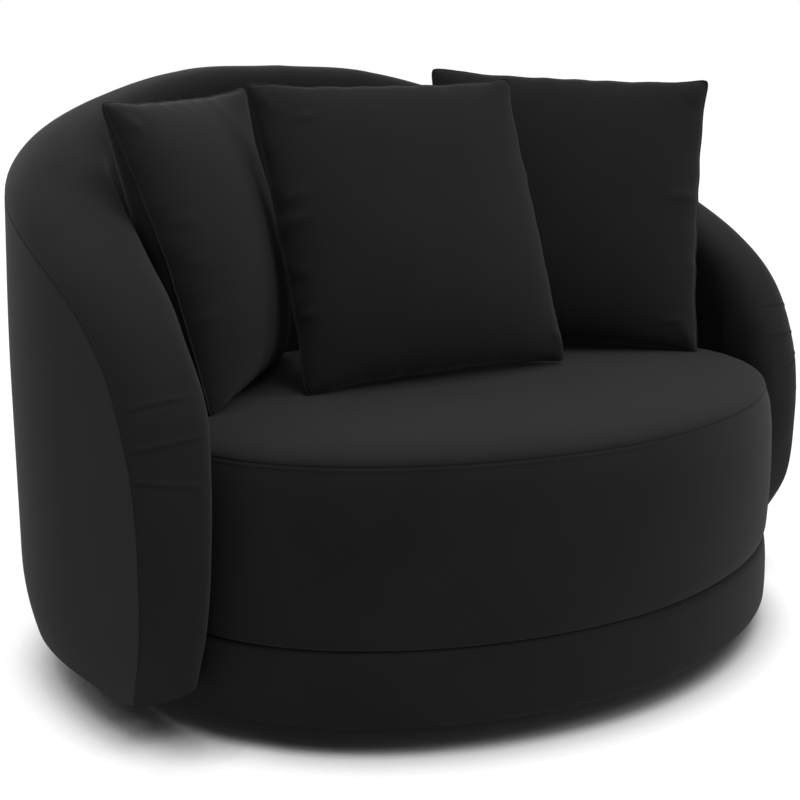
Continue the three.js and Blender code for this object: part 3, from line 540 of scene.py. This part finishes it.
def sheet_mesh(name, front, back):
    """A closed thick sheet between two grids of points, walled all round."""
    columns = front.shape[0] - 1
    rows = front.shape[1] - 1

    def near(i, j):
        return i * (rows + 1) + j

    def far(i, j):
        return (columns + 1) * (rows + 1) + near(i, j)

    faces = []
    for i in range(columns):
        for j in range(rows):
            faces.append((near(i, j), near(i + 1, j), near(i + 1, j + 1), near(i, j + 1)))
            faces.append((far(i, j), far(i, j + 1), far(i + 1, j + 1), far(i + 1, j)))
        faces.append((near(i, 0), far(i, 0), far(i + 1, 0), near(i + 1, 0)))
        faces.append((near(i + 1, rows), far(i + 1, rows), far(i, rows), near(i, rows)))
    for j in range(rows):
        faces.append((near(0, j + 1), far(0, j + 1), far(0, j), near(0, j)))
        faces.append((near(columns, j), far(columns, j), far(columns, j + 1), near(columns, j + 1)))
    points = np.concatenate([front.reshape(-1, 3), back.reshape(-1, 3)])
    return mesh_object(name, points, faces)


def loops_mesh(name, loops, poles=False, sharp=SHARP_ANGLE):
    """A closed body through closed loops: joined up, or closed by a point at each end."""
    count = loops.shape[1]
    rows = len(loops)
    faces = []
    spans = rows - 1 if poles else rows
    for k in range(spans):
        here, there = k * count, (k + 1) % rows * count
        for i in range(count):
            j = (i + 1) % count
            faces.append((here + i, here + j, there + j, there + i))
    points = loops.reshape(-1, 3)
    if poles:
        ends = [loops[0].mean(0), loops[-1].mean(0)]
        low, high = len(points), len(points) + 1
        points = np.vstack([points, ends])
        last = (rows - 1) * count
        for i in range(count):
            j = (i + 1) % count
            faces.append((low, j, i))
            faces.append((high, last + i, last + j))
    return mesh_object(name, points, faces, sharp)


def ring_mesh(name, path, radius):
    """A round cord along a closed path of points."""
    path = np.asarray(path, float)
    along = np.roll(path, -1, 0) - np.roll(path, 1, 0)
    along /= np.linalg.norm(along, axis=1, keepdims=True)
    normal = np.zeros_like(path)
    guess = np.cross(along[0], ANY_WAY)
    for i, way in enumerate(along):
        guess = guess - way * (guess @ way)
        guess /= np.linalg.norm(guess)
        normal[i] = guess
    side = np.cross(along, normal)
    slip = normal[-1] - along[0] * (normal[-1] @ along[0])
    twist = np.arctan2(slip @ side[0], slip @ normal[0])
    turn = np.linspace(0, 1, len(path), endpoint=False)[:, None] * -twist
    turned_normal = normal * np.cos(turn) + side * np.sin(turn)
    turned_side = side * np.cos(turn) - normal * np.sin(turn)
    ring = np.linspace(0, 2 * np.pi, SEAM_CORD_SIDES, endpoint=False)
    points = (
        path[:, None]
        + radius * np.cos(ring)[None, :, None] * turned_normal[:, None]
        + radius * np.sin(ring)[None, :, None] * turned_side[:, None]
    )
    return loops_mesh(name, points, sharp=CORD_SHARP_ANGLE)


def dress(obj, body, nodes, material):
    """Puts a piece on its body in place of CAD nodes, with its material."""
    obj.data.materials.clear()
    obj.data.materials.append(material)
    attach(obj, body)
    if nodes:
        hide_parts(*nodes)
    return obj


# Materials


def new_material(name, colour, roughness, metallic=0.0, specular=PLAIN_SPECULAR, sheen=0.0):
    material = bpy.data.materials.new(name)
    material.use_nodes = True
    shader = material.node_tree.nodes["Principled BSDF"]
    shader.inputs["Base Color"].default_value = (*colour, 1)
    shader.inputs["Roughness"].default_value = roughness
    shader.inputs["Metallic"].default_value = metallic
    shader.inputs["Specular IOR Level"].default_value = specular
    shader.inputs["Sheen Weight"].default_value = sheen
    shader.inputs["Sheen Roughness"].default_value = SHEEN_ROUGHNESS
    return material, shader


def noise(material, scale, detail, rough, stretch=(1, 1, 1)):
    """Noise over the object's own metres, more or less stretched."""
    nodes, links = material.node_tree.nodes, material.node_tree.links
    place = nodes.new("ShaderNodeTexCoord")
    mapping = nodes.new("ShaderNodeMapping")
    mapping.inputs["Scale"].default_value = stretch
    texture = nodes.new("ShaderNodeTexNoise")
    texture.inputs["Scale"].default_value = scale
    texture.inputs["Detail"].default_value = detail
    texture.inputs["Roughness"].default_value = rough
    links.new(place.outputs["Object"], mapping.inputs["Vector"])
    links.new(mapping.outputs["Vector"], texture.inputs["Vector"])
    return texture.outputs["Fac"]


def colour_between(material, shader, factor, low, high):
    ramp = material.node_tree.nodes.new("ShaderNodeValToRGB")
    ramp.color_ramp.elements[0].position = RAMP_START
    ramp.color_ramp.elements[1].position = RAMP_STOP
    ramp.color_ramp.elements[0].color = (*low, 1)
    ramp.color_ramp.elements[1].color = (*high, 1)
    material.node_tree.links.new(factor, ramp.inputs["Fac"])
    material.node_tree.links.new(ramp.outputs["Color"], shader.inputs["Base Color"])


def bump(material, shader, height, strength, distance):
    node = material.node_tree.nodes.new("ShaderNodeBump")
    node.inputs["Strength"].default_value = strength
    node.inputs["Distance"].default_value = distance
    material.node_tree.links.new(height, node.inputs["Height"])
    before = shader.inputs["Normal"].links
    if before:
        material.node_tree.links.new(before[0].from_socket, node.inputs["Normal"])
    material.node_tree.links.new(node.outputs["Normal"], shader.inputs["Normal"])


def range_of(material, factor, low, high, target):
    node = material.node_tree.nodes.new("ShaderNodeMapRange")
    node.inputs["To Min"].default_value = low
    node.inputs["To Max"].default_value = high
    material.node_tree.links.new(factor, node.inputs["Value"])
    material.node_tree.links.new(node.outputs["Result"], target)


def fabric_material(name):
    material, shader = new_material(
        name, CLOTH_COLOUR, CLOTH_ROUGHNESS, specular=CLOTH_SPECULAR, sheen=CLOTH_SHEEN
    )
    shader.inputs["Sheen Tint"].default_value = CLOTH_SHEEN_TINT
    colour_between(material, shader, noise(material, **CLOUD), CLOTH_DARK, CLOTH_LIGHT)
    nap = noise(material, **NAP)
    range_of(material, nap, CLOTH_SLEEK, CLOTH_DULL, shader.inputs["Roughness"])
    bump(material, shader, nap, **NAP_BUMP)
    bump(material, shader, noise(material, **PILE), **PILE_BUMP)
    return material


def plain_material(
    name, low, high, roughness, scale, stretch=(1, 1, 1), depth=GRAIN_DEPTH, metallic=0.0
):
    """A material with grain or pores: noise, stretched or not, in its colour and its surface."""
    material, shader = new_material(name, high, roughness, metallic=metallic)
    grain = noise(material, scale, stretch=stretch, **GRAIN)
    colour_between(material, shader, grain, low, high)
    bump(material, shader, grain, GRAIN_STRENGTH, depth)
    return material


upholstery = fabric_material("upholstery")
looks = {"upholstery": upholstery}
for name, look in LOOKS.items():
    looks[name] = plain_material(name, **look)
for part in frame["record"]["subparts"]:
    node = frame["nodes"].get(part["node"])
    if node is not None:
        node.data.materials.clear()
        node.data.materials.append(looks[part["material_slot"]])
        node.data.shade_smooth()
        node.data.set_sharp_from_angle(angle=np.radians(SHARP_ANGLE))

# Stations round the shell, closer together where the gathers are


def seam_length():
    t = np.linspace(0, 1, WALK_STEPS)
    points = seam_line.at(t)
    steps = np.hypot(*np.diff(points, axis=0).T)
    return t, np.concatenate([[0], np.cumsum(steps)]), points[:, 1]


SEAM_T, SEAM_ALONG, SEAM_Z = seam_length()


def along_at_height(z):
    """How far along the seam it comes down to a height on the arm front."""
    k = np.nonzero(SEAM_Z > z)[0][-1]
    return SEAM_ALONG[k]


GATHER_ALONG = [along_at_height(row[0]) for row in GATHERS]


def stations(coarse, fine, reach):
    """Shares from one arm's foot (1) to the other's (-1)."""
    spots = [0.0]
    while spots[-1] < SEAM_ALONG[-1]:
        nearest = min(abs(spots[-1] - gather) for gather in GATHER_ALONG)
        spots.append(spots[-1] + (fine if nearest < reach else coarse))
    spots = np.array(spots) * SEAM_ALONG[-1] / spots[-1]
    half = np.interp(spots, SEAM_ALONG, SEAM_T)
    return np.concatenate([half[::-1], -half[1:]])


def seam_relief(distance):
    """How far the cloth lies under its plain face at a distance from a seam: a dip, then a puff."""
    dip = SEAM_DIP * np.clip(1 - distance / SEAM_DIP_WIDTH, 0, 1) ** 2
    puff = SEAM_PUFF * np.exp(-(((distance - SEAM_PUFF_WIDTH) / SEAM_PUFF_WIDTH) ** 2) * 2)
    return dip - puff


def gather_relief(share, turn):
    """The small gathers where the arm front's band is eased round the curve."""
    along = np.interp(np.abs(share), SEAM_T, SEAM_ALONG)
    relief = np.zeros(np.broadcast(share, turn).shape)
    for (height, slant, width, depth, start, run), centre in zip(GATHERS, GATHER_ALONG):
        inward = np.clip(turn - 1, 0, 1)
        off = (along - centre + slant * inward / run) / width
        rise = smoothstep(inward, start * GATHER_RISE_SHARE, start)
        fade = rise * (1 - smoothstep(inward, run * GATHER_FADE_SHARE, run))
        relief = relief + depth * fade * off * np.exp((1 - off**2) / 2)
    return relief


share = stations(STATION, FINE_STATION, FINE_REACH)[:, None]
section = section_at(share)
panel_length = np.hypot(section["corner_reach"] - section["foot"], section["corner_z"] - SHELL_BOTTOM)

# Outer panel: rows crowd at its tucked foot and at the seam
seam_rows = NEAR_SEAM[::-1][None, :] * np.minimum(1, NEAR_SEAM_SHARE * panel_length / NEAR_SEAM[-1])
rest = np.linspace(0, 1, PANEL_ROWS)[:-1] ** PANEL_CROWDING
seam_off = np.concatenate([lerp(panel_length, seam_rows[:, :1], rest[None, :]), seam_rows], 1)
outer_turn = 1 - seam_off / panel_length
outer_relief = np.maximum(seam_relief(seam_off), 0) * np.minimum(1, panel_length / PANEL_FADE)
outer_front = layer_point(share, outer_turn, outer_relief)
outer_rear = layer_point(share, outer_turn, COVER + outer_relief)
outer_back = sheet_mesh("outer_back", outer_front, outer_rear)
dress(outer_back, "chair", ["outer_back_cover"], upholstery)

# Rim, arm fronts and inner back in one cover
rim_rows = np.concatenate([NEAR_SEAM[:-1] / RIM_GIRTH, np.linspace(RIM_ROWS_FROM, 1, RIM_ROWS)])
inner_rows = np.linspace(0, 1, INNER_ROWS)[1:]
wrap_turn = np.concatenate([[1], 1 + rim_rows, 2 + inner_rows])[None, :]
wrap_off = np.abs(wrap_turn - 1) * RIM_GIRTH
wrap_relief = np.where(wrap_turn < 2, seam_relief(wrap_off), 0) * np.ones_like(share)
wrap_relief = wrap_relief + gather_relief(share, wrap_turn)
wrap_front = layer_point(share, wrap_turn, wrap_relief)
wrap_rear = layer_point(share, wrap_turn, COVER + np.maximum(wrap_relief, 0))
inner_back = sheet_mesh("inner_back", wrap_front, wrap_rear)
dress(inner_back, "chair", ["inner_back_cover"], upholstery)

# Foam of the rim and the back
coarse_share = stations(FOAM_STATION, FOAM_STATION, 0)[:, None]
foam_turn = 2 + np.linspace(FOAM_TOP_SHARE, 1, FOAM_ROWS)[None, :]
back_foam = sheet_mesh(
    "back_foam",
    layer_point(coarse_share, foam_turn, LAYER),
    layer_point(coarse_share, foam_turn, LAYER + BACK_PADDING),
)
dress(back_foam, "chair", ["back_padding"], looks["foam"])
roll_turn = np.linspace(1, 2, ROLL_ROWS)[None, :]
roll = layer_point(coarse_share, roll_turn, LAYER)
underside = layer_point(coarse_share, np.array([[2.0]]), LAYER + BACK_PADDING)
rim_foam = loops_mesh("rim_foam", np.concatenate([roll, underside], 1)[::-1], poles=True)
dress(rim_foam, "chair", ["rim_padding"], looks["foam"])

# Plan of the seat and plinth

nose_turn = np.pi * np.linspace(0, 1, NOSE_COLUMNS)[:-1]
nose_cos = -np.cos(nose_turn)
nose_x = SEAT_HALF_WIDTH * np.sign(nose_cos) * np.abs(nose_cos) ** (2 / NOSE_POWER)
nose_y = NOSE - NOSE_DEPTH * np.sin(nose_turn) ** (2 / NOSE_POWER)
tub_walk = BACK_WALK + WIDEST - NOSE
tub_reach = np.linspace(tub_walk, -tub_walk, TUB_COLUMNS)[:-1]
tub = shell_at(tub_reach, 0 * tub_reach, seat_depth(tub_reach) + TUB_CLEARANCE)
base_plan = np.concatenate([np.stack([nose_x, nose_y], 1), tub[:, :2]])
base_way = np.roll(base_plan, -1, 0) - np.roll(base_plan, 1, 0)
base_out = np.stack([base_way[:, 1], -base_way[:, 0]], 1)
base_out /= np.linalg.norm(base_out, axis=1, keepdims=True)
DOME_CENTRE = np.array([0, (NOSE + WIDEST) / 2])


def base_loop(inset, z):
    flat = base_plan - base_out * inset
    return np.column_stack([flat, np.full(len(flat), z)])


def profile(rows, at):
    """A smooth profile through rows of (inset share, height share), at the height shares asked for."""
    inset, up = np.array(rows, float).T
    slope = np.gradient(inset, up)
    step = np.diff(up)
    secant = np.diff(inset) / step
    for i in range(1, len(up) - 1):
        flat = secant[i - 1] * secant[i] <= 0
        slope[i] = 0 if flat else 2 * secant[i - 1] * secant[i] / (secant[i - 1] + secant[i])
    k = np.clip(np.searchsorted(up, at, side="right") - 1, 0, len(up) - 2)
    t = (at - up[k]) / step[k]
    a, b = inset[k], inset[k + 1]
    ma, mb = slope[k] * step[k], slope[k + 1] * step[k]
    value = (
        (2 * t**3 - 3 * t**2 + 1) * a
        + (t**3 - 2 * t**2 + t) * ma
        + (3 * t**2 - 2 * t**3) * b
        + (t**3 - t**2) * mb
    )
    return np.column_stack([value, at])


border_up = 1 - NEAR_TOP / (SEAT_SEAM - GROOVE)
border_low = np.linspace(0, border_up[-1], BORDER_ROWS)[:-1]
border_rows = profile(BORDER_SHARES, np.sort([*border_low, *BORDER_FOOT_SHARES, *border_up, 1]))
plinth_up = np.sort([*np.linspace(0, 1, PLINTH_ROWS), *PLINTH_TOP_SHARES])
plinth_rows = profile(PLINTH_SHARES, plinth_up)
dome_rise = np.linspace(0, np.pi / 2, DOME_ROWS)[1:-1]
dome_share = (1 - np.sin(dome_rise) ** 2) ** (1 / DOME_POWER)
dome_share = np.concatenate([dome_share[dome_share > DOME_OUTER_SHARE], DOME_INNER_SHARES])


def seat_seam_relief(distance):
    """How far the cloth lies under its plain face at a distance under the seat's top seam."""
    dip = SEAT_DIP * np.clip(1 - distance / SEAT_DIP_WIDTH, 0, 1) ** 2
    return dip - SEAT_FOLD * np.exp(-(((distance - SEAT_FOLD_UNDER) / SEAT_FOLD_WIDTH) ** 2))


def border_loops(under, bottom=GROOVE):
    """The seat's border, whose top curls in under the top seam."""
    loops = []
    for inset, up in border_rows:
        z = lerp(GROOVE, SEAT_SEAM, up)
        if z >= bottom:
            relief = 0 if under else seat_seam_relief(SEAT_SEAM - z)
            loops.append(base_loop(inset * DEEPEST_INSET + under + relief, z))
    return loops


def dome_loops(under):
    loops = []
    rim = base_loop(DEEPEST_INSET + under, 0)
    for share in dome_share:
        flat = lerp(DOME_CENTRE, rim[:, :2], share)
        z = lerp(SEAT_SEAM, SEAT_TOP, np.sqrt(1 - share**DOME_POWER)) - under
        loops.append(np.column_stack([flat, np.full(len(flat), z)]))
    return loops


seat_inside = [*border_loops(COVER), *dome_loops(COVER)]
seat_outside = [*border_loops(0), *dome_loops(0)]
seat_cloth = loops_mesh("seat_cloth", np.array([*seat_inside[::-1], *seat_outside]), poles=True)
dress(seat_cloth, "chair", ["seat_cover"], upholstery)

block_loops = [*border_loops(LAYER, HOOP_TOP + LAYER_GAP), *dome_loops(LAYER)]
seat_block = loops_mesh("seat_block", np.array(block_loops), poles=True)
dress(seat_block, "chair", ["seat_foam"], looks["foam"])

pad_loops = [loop for loop in border_loops(LAYER) if loop[0, 2] <= HOOP_TOP]
for z in (HOOP_TOP, GROOVE):
    pad_loops.append(base_loop(HOOP_INSET - LAYER_GAP, z))
border_pad = loops_mesh("border_pad", np.array(pad_loops))
dress(border_pad, "chair", ["seat_border_padding"], looks["wadding"])

plinth_faces = []
plinth_backs = []
for inset, up in plinth_rows:
    z = lerp(PLINTH_BOTTOM, GROOVE - LAYER_GAP, up)
    plinth_faces.append(base_loop(inset * DEEPEST_INSET, z))
    plinth_backs.append(base_loop(inset * DEEPEST_INSET + COVER, max(z, PLINTH_BOTTOM + COVER)))
flange = [base_loop(FLANGE, PLINTH_BOTTOM + COVER), base_loop(FLANGE, PLINTH_BOTTOM)]
plinth_cloth = loops_mesh("plinth_cloth", np.array([*plinth_faces, *plinth_backs[::-1], *flange]))
dress(plinth_cloth, "chair", ["plinth_cover"], upholstery)

# Scatter cushions


def drawn_in(share):
    """How far the sewn edge has drawn in along a side, more between its corners' small ears."""
    return 1 - CUSHION_DRAW_IN * (1 - np.abs(share) ** CUSHION_EAR_POWER)


def crease_rise(rows, x, z):
    """The small folds that run in from the sewn edge, at places in millimetres."""
    rise = np.zeros_like(x)
    for x0, z0, x1, z1, width, height in rows:
        way = np.array([x1 - x0, z1 - z0])
        length = np.linalg.norm(way)
        way = way / length
        along = ((x - x0) * way[0] + (z - z0) * way[1]) / length
        off = ((z - z0) * way[0] - (x - x0) * way[1]) / width
        fade = smoothstep(along, 0, CREASE_RISE_SHARE) * (1 - smoothstep(along, CREASE_FADE_FROM, 1))
        rise = rise + height * fade * np.exp(-(off**2))
    return rise


def pucker(along):
    drift = PUCKER_UNEVENNESS * np.sin(along / PUCKER_LENGTH)
    return np.sin(2 * np.pi * along / PUCKER_LENGTH + drift)


def pucker_rise(x, z, half):
    """The small folds that the sewn edge gathers."""
    sides = pucker(z) * np.exp((np.abs(x) - half) / PUCKER_REACH)
    ends = pucker(x) * np.exp((np.abs(z) - half) / PUCKER_REACH)
    return PUCKER_RISE * (sides + ends)


def wavered(across, along, half):
    """Moves a sewn edge in and out a little along its length."""
    drift = WAVER_UNEVENNESS * np.sin(along / WAVER_LENGTH)
    wave = WAVER * np.sin(2 * np.pi * along / WAVER_LENGTH + drift)
    return across + np.sign(across) * wave * np.clip(np.abs(across) / half, 0, 1) ** WAVER_POWER


def cushion_mesh(name, side, crown, rear_crown, sag):
    """A flat-edged pillow of two gridded faces that share their sewn edge."""
    line = np.sin(np.linspace(-np.pi / 2, np.pi / 2, GRID + 1))
    line = lerp(line, np.linspace(-1, 1, GRID + 1), GRID_EVENNESS)
    x, z = np.meshgrid(line, line, indexing="ij")
    sunk = z + sag * (1 - z**2)
    rises = [
        -crown * np.maximum((1 - x**2) * (1 - sunk**2), 0) ** CUSHION_POWER,
        rear_crown * np.maximum((1 - x**2) * (1 - z**2), 0) ** CUSHION_POWER,
    ]
    corner = 1 - CORNER_ROUND * np.abs(x * z) ** CORNER_POWER
    flat_x = side / 2 * x * drawn_in(z) * corner
    flat_z = side / 2 * z * drawn_in(x) * corner
    points = []
    index = np.zeros((2, GRID + 1, GRID + 1), int)
    for i in range(GRID + 1):
        for j in range(GRID + 1):
            edge = i in (0, GRID) or j in (0, GRID)
            for face, rise in enumerate(rises):
                if edge and face:
                    index[1, i, j] = index[0, i, j]
                    continue
                index[face, i, j] = len(points)
                points.append((flat_x[i, j], rise[i, j], flat_z[i, j]))
    faces = []
    for i in range(GRID):
        for j in range(GRID):
            front, rear = ([int(v) for v in face[i : i + 2, j : j + 2].ravel()] for face in index)
            faces.append((front[0], front[2], front[3], front[1]))
            faces.append((rear[0], rear[1], rear[3], rear[2]))
    ring = [
        *index[0, :-1, 0],
        *index[0, -1, :-1],
        *index[0, :0:-1, -1],
        *index[0, 0, :0:-1],
    ]
    return mesh_object(name, points, faces, sharp=CUSHION_SHARP_ANGLE), [int(i) for i in ring]


def cloth_swell(pieces):
    """Swells the cushions as cloth under pressure, sewn fast at their edges."""
    scene = bpy.context.scene
    starts = {}
    for obj, ring in pieces:
        group = obj.vertex_groups.new(name="sewn")
        group.add(ring, 1.0, "REPLACE")
        cloth = obj.modifiers.new("cloth", "CLOTH")
        for key, value in SWELLING.items():
            setattr(cloth.settings, key, value)
        cloth.settings.vertex_group_mass = group.name
        cloth.settings.effector_weights.gravity = 0
        cloth.collision_settings.use_collision = False
        cloth.point_cache.frame_start = 1
        cloth.point_cache.frame_end = SIM_FRAMES
        starts[obj.name] = np.array([v.co for v in obj.data.vertices])
    for k in range(1, SIM_FRAMES + 1):
        scene.frame_set(k)
    graph = bpy.context.evaluated_depsgraph_get()
    for obj, _ in pieces:
        result = obj.evaluated_get(graph).to_mesh()
        after = np.array([v.co for v in result.vertices])
        obj.evaluated_get(graph).to_mesh_clear()
        move = after - starts[obj.name]
        size = np.linalg.norm(move, axis=1, keepdims=True)
        move *= np.minimum(1, SWELL_CAP * MM / np.maximum(size, LEAST))
        obj.modifiers.clear()
        obj.data.vertices.foreach_set("co", (starts[obj.name] + move).astype(np.float32).ravel())
        obj.data.update()
    scene.frame_set(1)


def subdivide(obj):
    level = obj.modifiers.new("subdivision", "SUBSURF")
    level.levels = 1
    graph = bpy.context.evaluated_depsgraph_get()
    mesh = bpy.data.meshes.new_from_object(obj.evaluated_get(graph))
    obj.modifiers.clear()
    old = obj.data
    obj.data = mesh
    bpy.data.meshes.remove(old)


def coordinates(obj):
    points = np.zeros(len(obj.data.vertices) * 3)
    obj.data.vertices.foreach_get("co", points)
    return points.reshape(-1, 3)


def move_points(obj, points):
    obj.data.vertices.foreach_set("co", points.astype(np.float32).ravel())
    obj.data.update()


def shape_cushion(obj, name, place):
    """Creases, puckers and twists a swelled cushion in its own axes."""
    half = place["side"] / 2
    x, y, z = coordinates(obj).T / MM
    rows = [(*(half * value for value in row[:4]), *row[4:]) for row in CREASES[name]]
    y = y - crease_rise(rows, x, z) * smoothstep(-y, 0, place["crown"] * CREASE_CROWN_SHARE)
    y = y - pucker_rise(x, z, half) * np.sign(-y)
    x, z = wavered(x, z, half), wavered(z, x, half)
    y = y - place["ear"] * smoothstep(x / half, EAR_FROM, 1) * smoothstep(z / half, EAR_FROM, 1)
    upper = np.clip(z / half, 0, 1)
    angle = np.radians(place["twist"]) * lerp(z / half, upper, 1 - LOWER_TWIST_SHARE)
    turned = x * np.cos(angle) - y * np.sin(angle), x * np.sin(angle) + y * np.cos(angle)
    move_points(obj, np.column_stack([*turned, z - place["slump"] * upper**2]) * MM)


def cushion_place(obj, name, place):
    """The cushion's place: its bottom lies where the CAD cushion's bottom does."""
    angles = np.radians((-place["lean"], -place["roll"], place["turn"]))
    turn = Euler(angles, "YXZ").to_matrix().to_4x4()
    drop = (coordinates(obj) @ np.array(turn.to_3x3())[2]).min()
    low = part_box(f"{name}_cushion_cover")[0].z
    spot = Vector((place["across"] * MM, place["back"] * MM, low - drop))
    return Matrix.Translation(spot) @ turn


cushions = {}
for name, place in CUSHIONS.items():
    plump = PLUMP_SHARE
    crown, rear = place["crown"] * plump, place["rear"] * plump
    cushions[name] = cushion_mesh(f"{name}_cushion", place["side"], crown, rear, place["sag"])
cloth_swell(list(cushions.values()))

for name, (obj, ring) in cushions.items():
    place = CUSHIONS[name]
    filling = obj.copy()
    filling.data = obj.data.copy()
    filling.name = f"{name}_filling"
    bpy.context.scene.collection.objects.link(filling)
    points = coordinates(filling)
    shrink = 1 - 2 * FILL_MARGIN / place["side"]
    thin = np.sign(points[:, 1]) * np.maximum(np.abs(points[:, 1]) - FILL_SLACK * MM, 0)
    move_points(filling, np.column_stack([points[:, 0] * shrink, thin, points[:, 2] * shrink]))
    subdivide(obj)
    shape_cushion(obj, name, place)
    shape_cushion(filling, name, place)
    matrix = cushion_place(obj, name, place)
    obj.data.transform(matrix)
    filling.data.transform(matrix)
    path = coordinates(obj)[ring] / MM
    cord = ring_mesh(f"{name}_cushion_seam", path, SEAM_CORD)
    body = f"{name}_cushion"
    dress(obj, body, [f"{name}_cushion_cover"], upholstery)
    dress(cord, body, [], upholstery)
    dress(filling, body, [f"{name}_cushion_filling"], looks["wadding"])

# Floor, light and camera

floor_corners = [(x * FLOOR_HALF, y * FLOOR_HALF, 0) for x, y in ((-1, -1), (1, -1), (1, 1), (-1, 1))]
floor = mesh_object("floor", floor_corners, [(0, 1, 2, 3)], smooth=False)
floor_look, floor_shader = new_material("floor", FLOOR_COLOUR, FLOOR_ROUGHNESS, specular=0.0)
floor.data.materials.append(floor_look)


def seen_or_shiny(tree):
    """One for what the camera sees, straight, in a shiny surface or through a clear one."""
    ray = tree.nodes.new("ShaderNodeLightPath")
    result = ray.outputs["Is Camera Ray"]
    for name in ("Is Glossy Ray", "Is Transmission Ray"):
        either = tree.nodes.new("ShaderNodeMath")
        either.operation = "MAXIMUM"
        tree.links.new(result, either.inputs[0])
        tree.links.new(ray.outputs[name], either.inputs[1])
        result = either.outputs[0]
    return result


floor_tree = floor_look.node_tree
# The floor's glow takes its strength from ambient occlusion: painted shade under the chair
shade = floor_tree.nodes.new("ShaderNodeAmbientOcclusion")
shade.samples = FLOOR_SHADE_SAMPLES
shade.inputs["Distance"].default_value = FLOOR_SHADE_REACH * MM
painted_shade_glow = floor_tree.nodes.new("ShaderNodeEmission")
painted_shade_level = floor_tree.nodes.new("ShaderNodeMapRange")
painted_shade_level.inputs["From Min"].default_value = FLOOR_DARK_SHARE
painted_shade_level.inputs["From Max"].default_value = FLOOR_OPEN_SHARE
floor_tree.links.new(shade.outputs["AO"], painted_shade_level.inputs["Value"])
floor_tree.links.new(painted_shade_level.outputs["Result"], painted_shade_glow.inputs["Strength"])
# What the camera sees: mostly the glow with its painted shade, and a little of the floor as lit
shown = floor_tree.nodes.new("ShaderNodeMixShader")
shown.inputs["Fac"].default_value = FLOOR_GLOW
floor_tree.links.new(floor_shader.outputs[0], shown.inputs[1])
floor_tree.links.new(painted_shade_glow.outputs[0], shown.inputs[2])
dim = floor_tree.nodes.new("ShaderNodeBsdfDiffuse")
dim.inputs["Color"].default_value = FLOOR_RETURN
floor_mix = floor_tree.nodes.new("ShaderNodeMixShader")
floor_tree.links.new(seen_or_shiny(floor_tree), floor_mix.inputs["Fac"])
floor_tree.links.new(dim.outputs[0], floor_mix.inputs[1])
floor_tree.links.new(shown.outputs[0], floor_mix.inputs[2])
floor_tree.links.new(floor_mix.outputs[0], floor_tree.nodes["Material Output"].inputs["Surface"])

world = bpy.data.worlds.new("studio")
bpy.context.scene.world = world
world.use_nodes = True
tree = world.node_tree
back = tree.nodes["Background"]
back.inputs["Strength"].default_value = WORLD_LIGHT
back.inputs["Color"].default_value = WHITE
seen = tree.nodes.new("ShaderNodeBackground")
seen.inputs["Strength"].default_value = WORLD_SEEN
seen.inputs["Color"].default_value = WHITE
pick = tree.nodes.new("ShaderNodeMixShader")
tree.links.new(seen_or_shiny(tree), pick.inputs["Fac"])
tree.links.new(back.outputs[0], pick.inputs[1])
tree.links.new(seen.outputs[0], pick.inputs[2])
tree.links.new(pick.outputs[0], tree.nodes["World Output"].inputs["Surface"])

for name, (azimuth, elevation, strength, angle) in SUNS.items():
    lamp = bpy.data.lights.new(name, "SUN")
    lamp.energy = strength
    lamp.angle = np.radians(angle)
    obj = bpy.data.objects.new(name, lamp)
    a, e = np.radians((azimuth, elevation))
    way = Vector((np.cos(a) * np.cos(e), np.sin(a) * np.cos(e), np.sin(e)))
    obj.rotation_euler = way.to_track_quat("Z", "Y").to_euler()
    bpy.context.scene.collection.objects.link(obj)

camera = bpy.data.cameras.new("camera")
camera.sensor_width = SENSOR_WIDTH
camera.lens = FOCAL_PIXELS / IMAGE_WIDTH * SENSOR_WIDTH
view = bpy.data.objects.new("camera", camera)
view.location = Vector(EYE) * MM
view.rotation_euler = (Vector(TARGET) - Vector(EYE)).to_track_quat("-Z", "Y").to_euler()
bpy.context.scene.collection.objects.link(view)
bpy.context.scene.camera = view
bpy.context.scene.view_settings.view_transform = "Standard"
